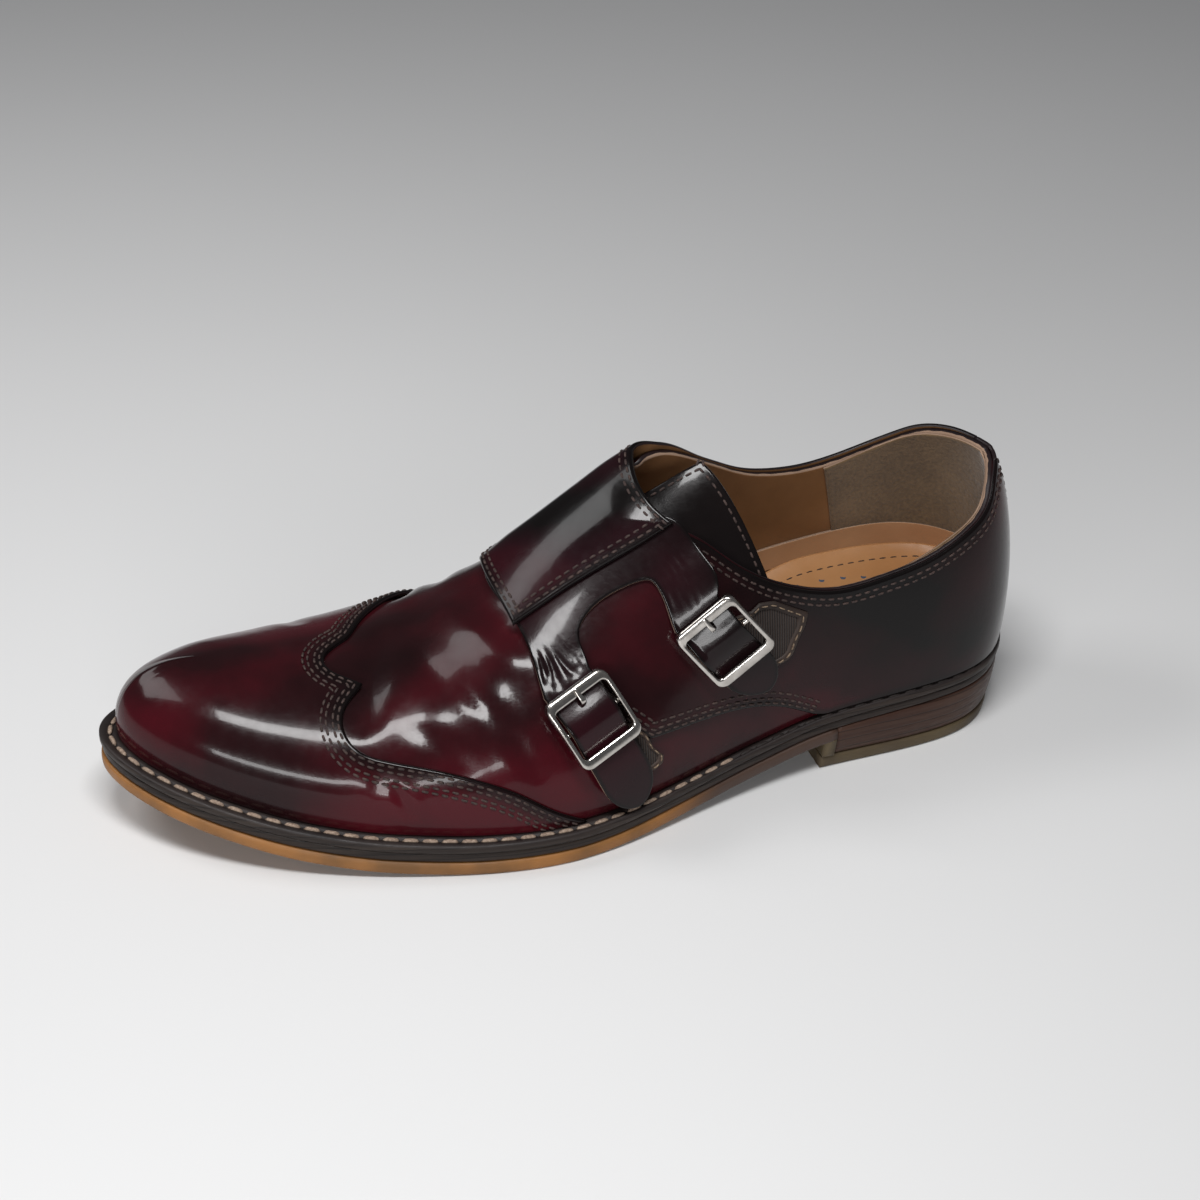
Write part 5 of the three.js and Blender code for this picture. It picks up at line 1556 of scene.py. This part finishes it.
def block(name, rows, finish, middle, replaced=(), picks=None):
    """Solid of stacked outlines: each row is an outline and its height there. The first and the
    last row close over a middle line."""
    low_x, high_x = middle
    rings = [np.concatenate([line, np.broadcast_to(height(line[:, 0]), len(line))[:, None]], axis=1)
             for line, height in rows]
    caps = []
    for ring, height in ((rings[0], rows[0][1]), (rings[-1], rows[-1][1])):
        x = np.clip(ring[:, 0], low_x, high_x)
        centre = np.stack([x, np.interp(x, EDGE[OUTER][:, 0], (EDGE[OUTER][:, 1] + np.interp(
            EDGE[OUTER][:, 0], EDGE[INNER][:, 0], EDGE[INNER][:, 1])) / 2)], axis=1)
        steps = []
        for share in (0.15, 0.4, 0.7, 1.0):
            flat = ring[:, :2] * (1 - share) + centre * share
            steps.append(np.concatenate([flat, np.broadcast_to(height(flat[:, 0]), len(flat))[:, None]],
                                        axis=1))
        caps.append(steps)
    points = np.stack(caps[0][::-1] + rings + caps[1], axis=1)
    faces = net(points.shape[0], points.shape[1], 0, True)
    per_column = points.shape[1] - 1
    chosen = None
    if picks is not None:
        chosen = np.tile(picks(per_column), points.shape[0])
    piece = make(name, points, faces, finish, chosen, {"edge": np.full(points.shape[:2], 9.0)})
    for node in replaced:
        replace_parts(piece, node)
    return piece


def edge_rows(top, bottom, width, side_inset, round_by=0.6, belly=0.25, start_x=None, end_x=None, low_inset=None):
    """Outlines down the edge of a layer: rounded at both corners and a little full between."""
    low_inset = side_inset if low_inset is None else low_inset
    rows = []
    for share in (0, 0.04, 0.12, 0.3, 0.5, 0.7, 0.88, 0.96, 1):
        corner = round_by * (np.clip(1 - share / 0.12, 0, 1) ** 2 + np.clip(1 - (1 - share) / 0.12, 0,
                                                                            1) ** 2)
        here = side_inset + share * (low_inset - side_inset) + corner - belly * (np.sin(np.pi * share)) + belly
        height = lambda x, s=share: top(x) * (1 - s) + bottom(x) * s
        rows.append((loop(here, start_x, end_x), height))
    return rows


def midsole_base(x):
    return underside(x) + OUTSOLE_THICK + GAP


def welt_base(x):
    return midsole_base(x) + MIDSOLE_THICK + GAP


def sole():
    """Sole layers: tan outsole with its breast and heel lift, stacked heel, midsole and welt."""
    toe_middle, heel_middle = (24, LENGTH - 24), (24, HEEL_LENGTH - 8)
    breast_x = HEEL_LENGTH - BREAST_THICK
    rows = edge_rows(lambda x: underside(x) + OUTSOLE_THICK, underside, 1, OUTSOLE_INSET, start_x=breast_x)
    block("outsole_sheet", rows, [outsole_tan], (breast_x + 1, LENGTH - 24), ["outsole"])
    rows = edge_rows(lambda x: np.full_like(x, LIFT_THICK), lambda x: np.zeros_like(x), 1,
                     LIFT_TAPER, end_x=HEEL_LENGTH, low_inset=HEEL_TAPER)
    block("heel_lift", rows, [breast_brown], heel_middle, ["outsole"])
    rows = edge_rows(lambda x: underside(x) + OUTSOLE_THICK, lambda x: np.full_like(x, LIFT_THICK + GAP), 1,
                     OUTSOLE_INSET, 0.4, 0.35, end_x=breast_x - GAP, low_inset=LIFT_TAPER)
    block("heel_stack_leather", rows, [heel_leather], heel_middle, ["heel_stack"])
    heel_breast()
    rows = edge_rows(lambda x: midsole_base(x) + MIDSOLE_THICK, midsole_base, 1, MIDSOLE_INSET, 0.5, 0.2)
    block("midsole_layer", rows, [sole_edge], toe_middle, ["midsole"])
    return welt()


def heel_breast():
    """Front face of the heel: the outsole turned down it, as a plate as wide as the heel there."""
    x0, x1 = HEEL_LENGTH - BREAST_THICK, HEEL_LENGTH
    wide = 40
    columns = []
    half = [np.interp(x1, EDGE[side][:, 0], EDGE[side][:, 1]) for side in (OUTER, INNER)]
    for height, shrink in ((underside(np.array(x1)) + 1.0, 0.6), (LIFT_THICK + GAP + 0.05, 1.9)):
        y = np.linspace(half[0] - shrink, half[1] + shrink, wide)
        ring = np.concatenate([np.stack([np.full(wide, x0), y], axis=1),
                               np.stack([np.full(wide, x1 - 0.15), y[::-1]], axis=1)])
        columns.append(np.concatenate([ring, np.full((len(ring), 1), float(height))], axis=1))
    top, low = columns
    rings = [top + (low - top) * share for share in np.linspace(0, 1, 9)]
    middle = [np.stack([ring[:, 0] * 0 + (x0 + x1) / 2, ring[:, 1], ring[:, 2]], axis=1)
              for ring in (rings[0], rings[-1])]
    points = np.stack([middle[0]] + rings + [middle[1]], axis=1)
    piece = make("heel_breast", points, net(points.shape[0], points.shape[1], 0, True), [breast_brown])
    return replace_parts(piece, "outsole")


def welt():
    """Welt as a ring: a section with a groove for its stitches carried round the outline."""
    def ring(depth, height):
        line = loop(depth)
        return np.concatenate([line, (welt_base(line[:, 0]) + height)[:, None]], axis=1)
    show = lambda share, extra=0.0: (lambda x: welt_show(x) * share + extra)
    section = [
        (show(0, 0.35), 0.0), (show(0, 0.05), 0.35), (show(0, 0.0), 1.3), (show(0, 0.05),
                                                                           2.2), (show(0, 0.4),
                                                                                  WELT_THICK - 0.08),
        (show(0.18, 0.2), WELT_THICK), (show(0.3, 0.2), WELT_THICK - 0.05), (show(0.36, 0.2),
                                                                             WELT_THICK - 0.5),
        (show(0.5, 0.2), WELT_THICK - 0.55), (show(0.56, 0.2), WELT_THICK - 0.05), (show(0.7, 0.2),
                                                                                    WELT_THICK + 0.05),
        (show(0.86), WELT_THICK + 0.02), (show(0.97), WELT_THICK - 0.15), (show(1, 0.9), WELT_THICK - 0.2),
        (show(1, UPPER_WALL + WELT_LIP), WELT_THICK - 0.2), (show(1, UPPER_WALL + WELT_LIP), 0.0),
    ]
    rings = np.stack([ring(depth, height) for depth, height in section], axis=1)
    faces = net(len(rings), len(section), 0, True)
    first = np.arange(len(rings)) * len(section)
    ahead = np.roll(first, -1)
    back = np.stack([first, first + len(section) - 1, ahead + len(section) - 1, ahead], axis=1)
    picks = np.concatenate([np.tile(np.where(np.arange(len(section) - 1) < 3, 1, 0), len(rings)),
                            np.zeros(len(back), int)])
    piece = make("welt_band", rings, np.concatenate([faces, back]), [welt_top, sole_edge], picks)
    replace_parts(piece, "welt")
    line = loop(show(0.43, 0.2))
    row = np.concatenate([line, (welt_base(line[:, 0]) + WELT_THICK - 0.3)[:, None]], axis=1)
    row = np.roll(row, -40, axis=0)
    pale = row[row[:, 0] > LENGTH * 0.36]
    dark = np.roll(row, SAMPLES, axis=0)
    dark = dark[dark[:, 0] <= LENGTH * 0.36]
    up = lambda line: np.tile(Z_AXIS, (len(line), 1))
    stitches("welt_stitches_pale", [(pale, up(pale))], pale_thread, 5.7, 5.4, 1.5, 1.1, 0.25)
    stitches("welt_stitches_dark", [(dark, up(dark))], black_thread, 5.7, 5.2, 1.3, 1.0, 0.35)
    return piece


# Inside


def footbed_height(x, near_edge):
    """Top of the footbed: over a pad in the heel, and turned up near its edge."""
    pad = HEEL_PAD * (1 - smoothstep(x / LENGTH, 0.2, 0.36))
    return seat(x) + GAP + INSOLE_THICK + pad + INSOLE_CUP * near_edge**4


def footbed_lines(extra=0.0):
    width = lambda x: welt_show(x) + UPPER_WALL + INSOLE_CLEARANCE + extra
    return inset(OUTER, width), inset(INNER, width)


def footbed_point(lines, x, place):
    """Point of the footbed at a station, at a share of its width from the inner side."""
    outer = np.interp(x, lines[0][:, 0], lines[0][:, 1])
    inner = np.interp(x, lines[1][:, 0], lines[1][:, 1])
    y = inner + place * (outer - inner)
    return np.stack([x + 0 * y, y, footbed_height(x, np.abs(2 * place - 1))], axis=-1)


def insole():
    lines = footbed_lines()
    wide, tall = 120, 50
    share = (1 - np.cos(np.pi * np.linspace(0, 1, wide))) / 2
    x = lines[0][0, 0] + share * (lines[0][-1, 0] - lines[0][0, 0])
    place = crowded(tall, 0.5)
    top = footbed_point(lines, *np.meshgrid(x, place, indexing="ij"))
    under = top.copy()
    under[..., 2] = seat(under[..., 0]) + GAP
    faces, picks = shell_faces(wide, tall)
    marks = {"edge": np.full(2 * wide * tall, 9.0)}
    piece = make("footbed", np.concatenate([top.reshape(-1, 3), under.reshape(-1, 3)]), faces,
                 [footbed, footbed_rim, footbed_rim], picks, marks)
    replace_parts(piece, "insole")
    dots(lines)
    x = np.linspace(16, 120, 150)
    rows = []
    for side_place in (0.1, 0.9):
        line = footbed_point(lines, x, np.full(len(x), side_place))
        rows.append((line, np.tile(Z_AXIS, (len(line), 1))))
    stitches("footbed_stitches", rows, dark_thread, 3.6, 2.6, 0.5, 0.4, 0.4)
    return piece


def dots(lines):
    """Punched dots in two horseshoes round the heel of the footbed: small sunk rounds with a raised
    rim. Across a horseshoe, they stand at its half width times the fourth root of what is left."""
    centres = []
    for half, front, back, count in ((18.0, 62.0, 24.5, 15), (9.5, 55.0, 35.5, 8)):
        turn = np.linspace(-1, 1, count)
        x = back + (front - back) * np.abs(turn) ** 1.5
        y = half * np.sign(turn) * (1 - (1 - np.abs(turn)) ** 2)
        width = footbed_point(lines, x, np.ones(count))[:, 1] - footbed_point(lines, x, np.zeros(count))[:, 1]
        centres.append(footbed_point(lines, x, 0.5 + y / width))
    centres = np.concatenate(centres)
    around, rings = 12, np.array([0, 0.55, 0.85, 1.05])
    height = np.array([0.02, 0.02, 0.06, -0.12])
    turn = np.arange(around) * 2 * np.pi / around
    disc = np.stack([rings[:, None] * np.cos(turn), rings[:, None] * np.sin(turn),
                     np.broadcast_to(height[:, None], (4, around))], axis=-1)
    points = centres[:, None, None] + disc[None]
    one = net_around(len(rings), around)
    faces = (np.arange(len(centres)) * len(rings) * around)[:, None, None] + one
    piece = make("footbed_dots", points, faces, [perforation])
    return piece


def inside_sheet(name, finish, sides, low, high, end_walk, thick, ragged=0.0):
    """Sheet against the inside of the heel: from one side round the heel to the other, between a
    lower height and the top line less a margin."""
    columns = []
    tall = 40
    for side in sides:
        walks = np.linspace(end_walk[side], 0, 46)
        top = topline_height(side, walks, -UPPER_WALL) if high is None else np.full(len(walks), high)
        top = top - (0.015 if high is None else 0)
        height = low + (top[:, None] - low) * np.linspace(0, 1, tall)
        lean = ragged * np.linspace(0, 1, tall)[None] * (walks / end_walk[side])[:, None]
        walk = walks[:, None] + lean
        column = np.stack([walk, height if side == OUTER else 2 - height], axis=-1)
        columns.append(column if side == sides[0] else column[::-1][1:])
    places = np.concatenate(columns)
    outer, inner = over(places, -UPPER_WALL - 0.05), over(places, -UPPER_WALL - thick)
    faces, picks = shell_faces(*places.shape[:2])
    return make(name, np.concatenate([outer.reshape(-1, 3), inner.reshape(-1, 3)]), faces, finish, picks)


def inside():
    grip = inside_sheet("heel_grip", [grip_suede, lining_edge, grip_suede], (INNER, OUTER), 0.1, None,
                        (0.19, 0.19), GRIP_THICK, 0.02)
    rim_piece = inside_sheet("footbed_wall", [footbed_rim, lining_edge, footbed_rim], (INNER, OUTER), 0.13,
                             0.2, (0.5, 0.5), GRIP_THICK + 0.3)


# Seams


def seam_rows(edge, widths, off, trim=2, raised=True):
    """Rows of stitches beside an edge, each a width from it."""
    rows = []
    for width in widths:
        line = beside(edge, width)[trim:len(edge) - trim]
        line = line[distance(over(line), [over(edge)]) > 0.93 * abs(width)]
        height = off(line) if callable(off) else off
        rows.append((over(line, height, raised), outward(line)))
    return rows


def seams(wing, outer_seams, inner_seams, tab_rows, tongue_rows):
    cap_top, quarter_top = GAP + CAP_THICK, GAP + QUARTER_THICK
    wing_edge = evenly(wing * SPREAD, 400) / SPREAD
    rows = seam_rows(wing_edge, (-1.4, -2.9, -4.9, -6.4), cap_top, 4)
    rows += seam_rows(outer_seams["arch"], (1.4, 2.9, 4.8), quarter_top)
    rows += seam_rows(outer_seams["top"], (-2.2, -4.0), quarter_top, 1)
    rows += seam_rows(outer_seams["front"], (1.6, 3.4), quarter_top)
    rows += seam_rows(inner_seams["arch"], (-1.4, -2.9, -4.8), flap_top)
    rows += seam_rows(inner_seams["top"], (2.2, 4.0), flap_top, 1)
    for key, sign in (("front", -1), ("rear", 1), ("side", -1)):
        rows += seam_rows(inner_seams[key], (1.6 * sign, 3.4 * sign), flap_top)
    rows += tongue_rows
    for side in (OUTER, INNER):
        edge = strip_edge(side)
        edge = edge * (0.72, 1)
        rows += [(over(edge, GAP + STRIP_THICK), outward(edge))]
    stitches("seam_stitches", rows, dark_thread)
    stitches("tab_stitches", tab_rows, tab_thread, wide=0.45)


# Surroundings


def camera():
    """The photograph's view: from the outer side, ahead of the ball and well above the floor."""
    azimuth, elevation, roll = np.radians((19.0, 32.0, 2.05))
    distance_mm, focal_share = 751.0, 2453.1 / 1200
    back = np.array([np.sin(azimuth) * np.cos(elevation), np.cos(azimuth) * np.cos(elevation),
                     np.sin(elevation)])
    right = unit(np.cross(Z_AXIS, back))
    up = np.cross(back, right)
    turned_right = np.cos(roll) * right + np.sin(roll) * up
    turned_up = -np.sin(roll) * right + np.cos(roll) * up
    target = np.array([LENGTH / 2, 0, 40.0]) + 8.1 * right + 12.5 * up
    data = bpy.data.cameras.new("photo_view")
    data.sensor_width = 36.0
    data.lens = 36.0 * focal_share
    data.clip_start, data.clip_end = 0.01, 50.0
    eye = bpy.data.objects.new("photo_view", data)
    matrix = np.eye(4)
    matrix[:3, 0], matrix[:3, 1], matrix[:3, 2] = turned_right, turned_up, back
    matrix[:3, 3] = to_frame(target + distance_mm * back)
    eye.matrix_world = Matrix(matrix.tolist())
    bpy.context.scene.collection.objects.link(eye)
    bpy.context.scene.camera = eye


def lamp(name, place, aim, size, power, tint=(1, 1, 1)):
    data = bpy.data.lights.new(name, "AREA")
    data.shape = "RECTANGLE"
    data.size, data.size_y = size
    data.energy = power
    data.color = tint
    light = bpy.data.objects.new(name, data)
    back = unit(np.array(place, float) - np.array(aim, float))
    right = unit(np.cross(Z_AXIS, back))
    matrix = np.eye(4)
    matrix[:3, 0], matrix[:3, 1], matrix[:3, 2], matrix[:3, 3] = right, np.cross(back, right), back, place
    light.matrix_world = Matrix(matrix.tolist())
    bpy.context.scene.collection.objects.link(light)


def studio():
    """Pale floor and soft light: a panel overhead, a low strip beside the camera, and a soft panel
    from the toe."""
    world = bpy.data.worlds.new("studio")
    world.use_nodes = True
    world.node_tree.nodes["Background"].inputs["Color"].default_value = (0.95, 0.96, 1.0, 1)
    world.node_tree.nodes["Background"].inputs["Strength"].default_value = 0.1
    bpy.context.scene.world = world
    bpy.context.scene.view_settings.view_transform = "Standard"
    lamp("overhead", (0.14, 0.33, 0.87), (0.0, 0.0, 0.04), (0.4, 0.17), 6)
    lamp("low_strip", (0.4, 0.68, 0.24), (0.0, 0.0, 0.04), (0.5, 0.07), 2.2)
    lamp("toe_panel", (0.55, -0.22, 0.7), (0.0, 0.0, 0.05), (0.35, 0.35), 2)
    size = 6.0
    points = np.array([(-size, -size, 0), (size, -size, 0), (size, size, 0), (-size, size, 0)], float)
    mesh = bpy.data.meshes.new("floor")
    mesh.from_pydata(points.tolist(), [], [(0, 1, 2, 3)])
    floor = bpy.data.objects.new("floor", mesh)
    finish = Finish("floor_pale", Roughness=0.7, Specular_IOR_Level=0.2)
    finish.colour(finish.mix(finish.ramp(finish.noise(2, 2), (0.3, 0.0), (0.7, 1.0)), (0.76, 0.76, 0.76),
                             (0.78, 0.78, 0.78)))
    mesh.materials.append(finish.material)
    bpy.context.scene.collection.objects.link(floor)


camera()
upper_shell()
wing = toe_cap()[1]
outer_seams = outer_quarter()[1]
inner_seams = inner_quarter()[1]
back_strip()
straps()
for which in BUCKLES:
    buckle(which)
    prong(which)
tab_rows = [tab(name, outline)[1] for name, outline in TABS.items()]
tongue_rows = tongue_leaf()[1]
seams(wing, outer_seams, inner_seams, tab_rows, tongue_rows)
insole()
inside()
sole()
studio()
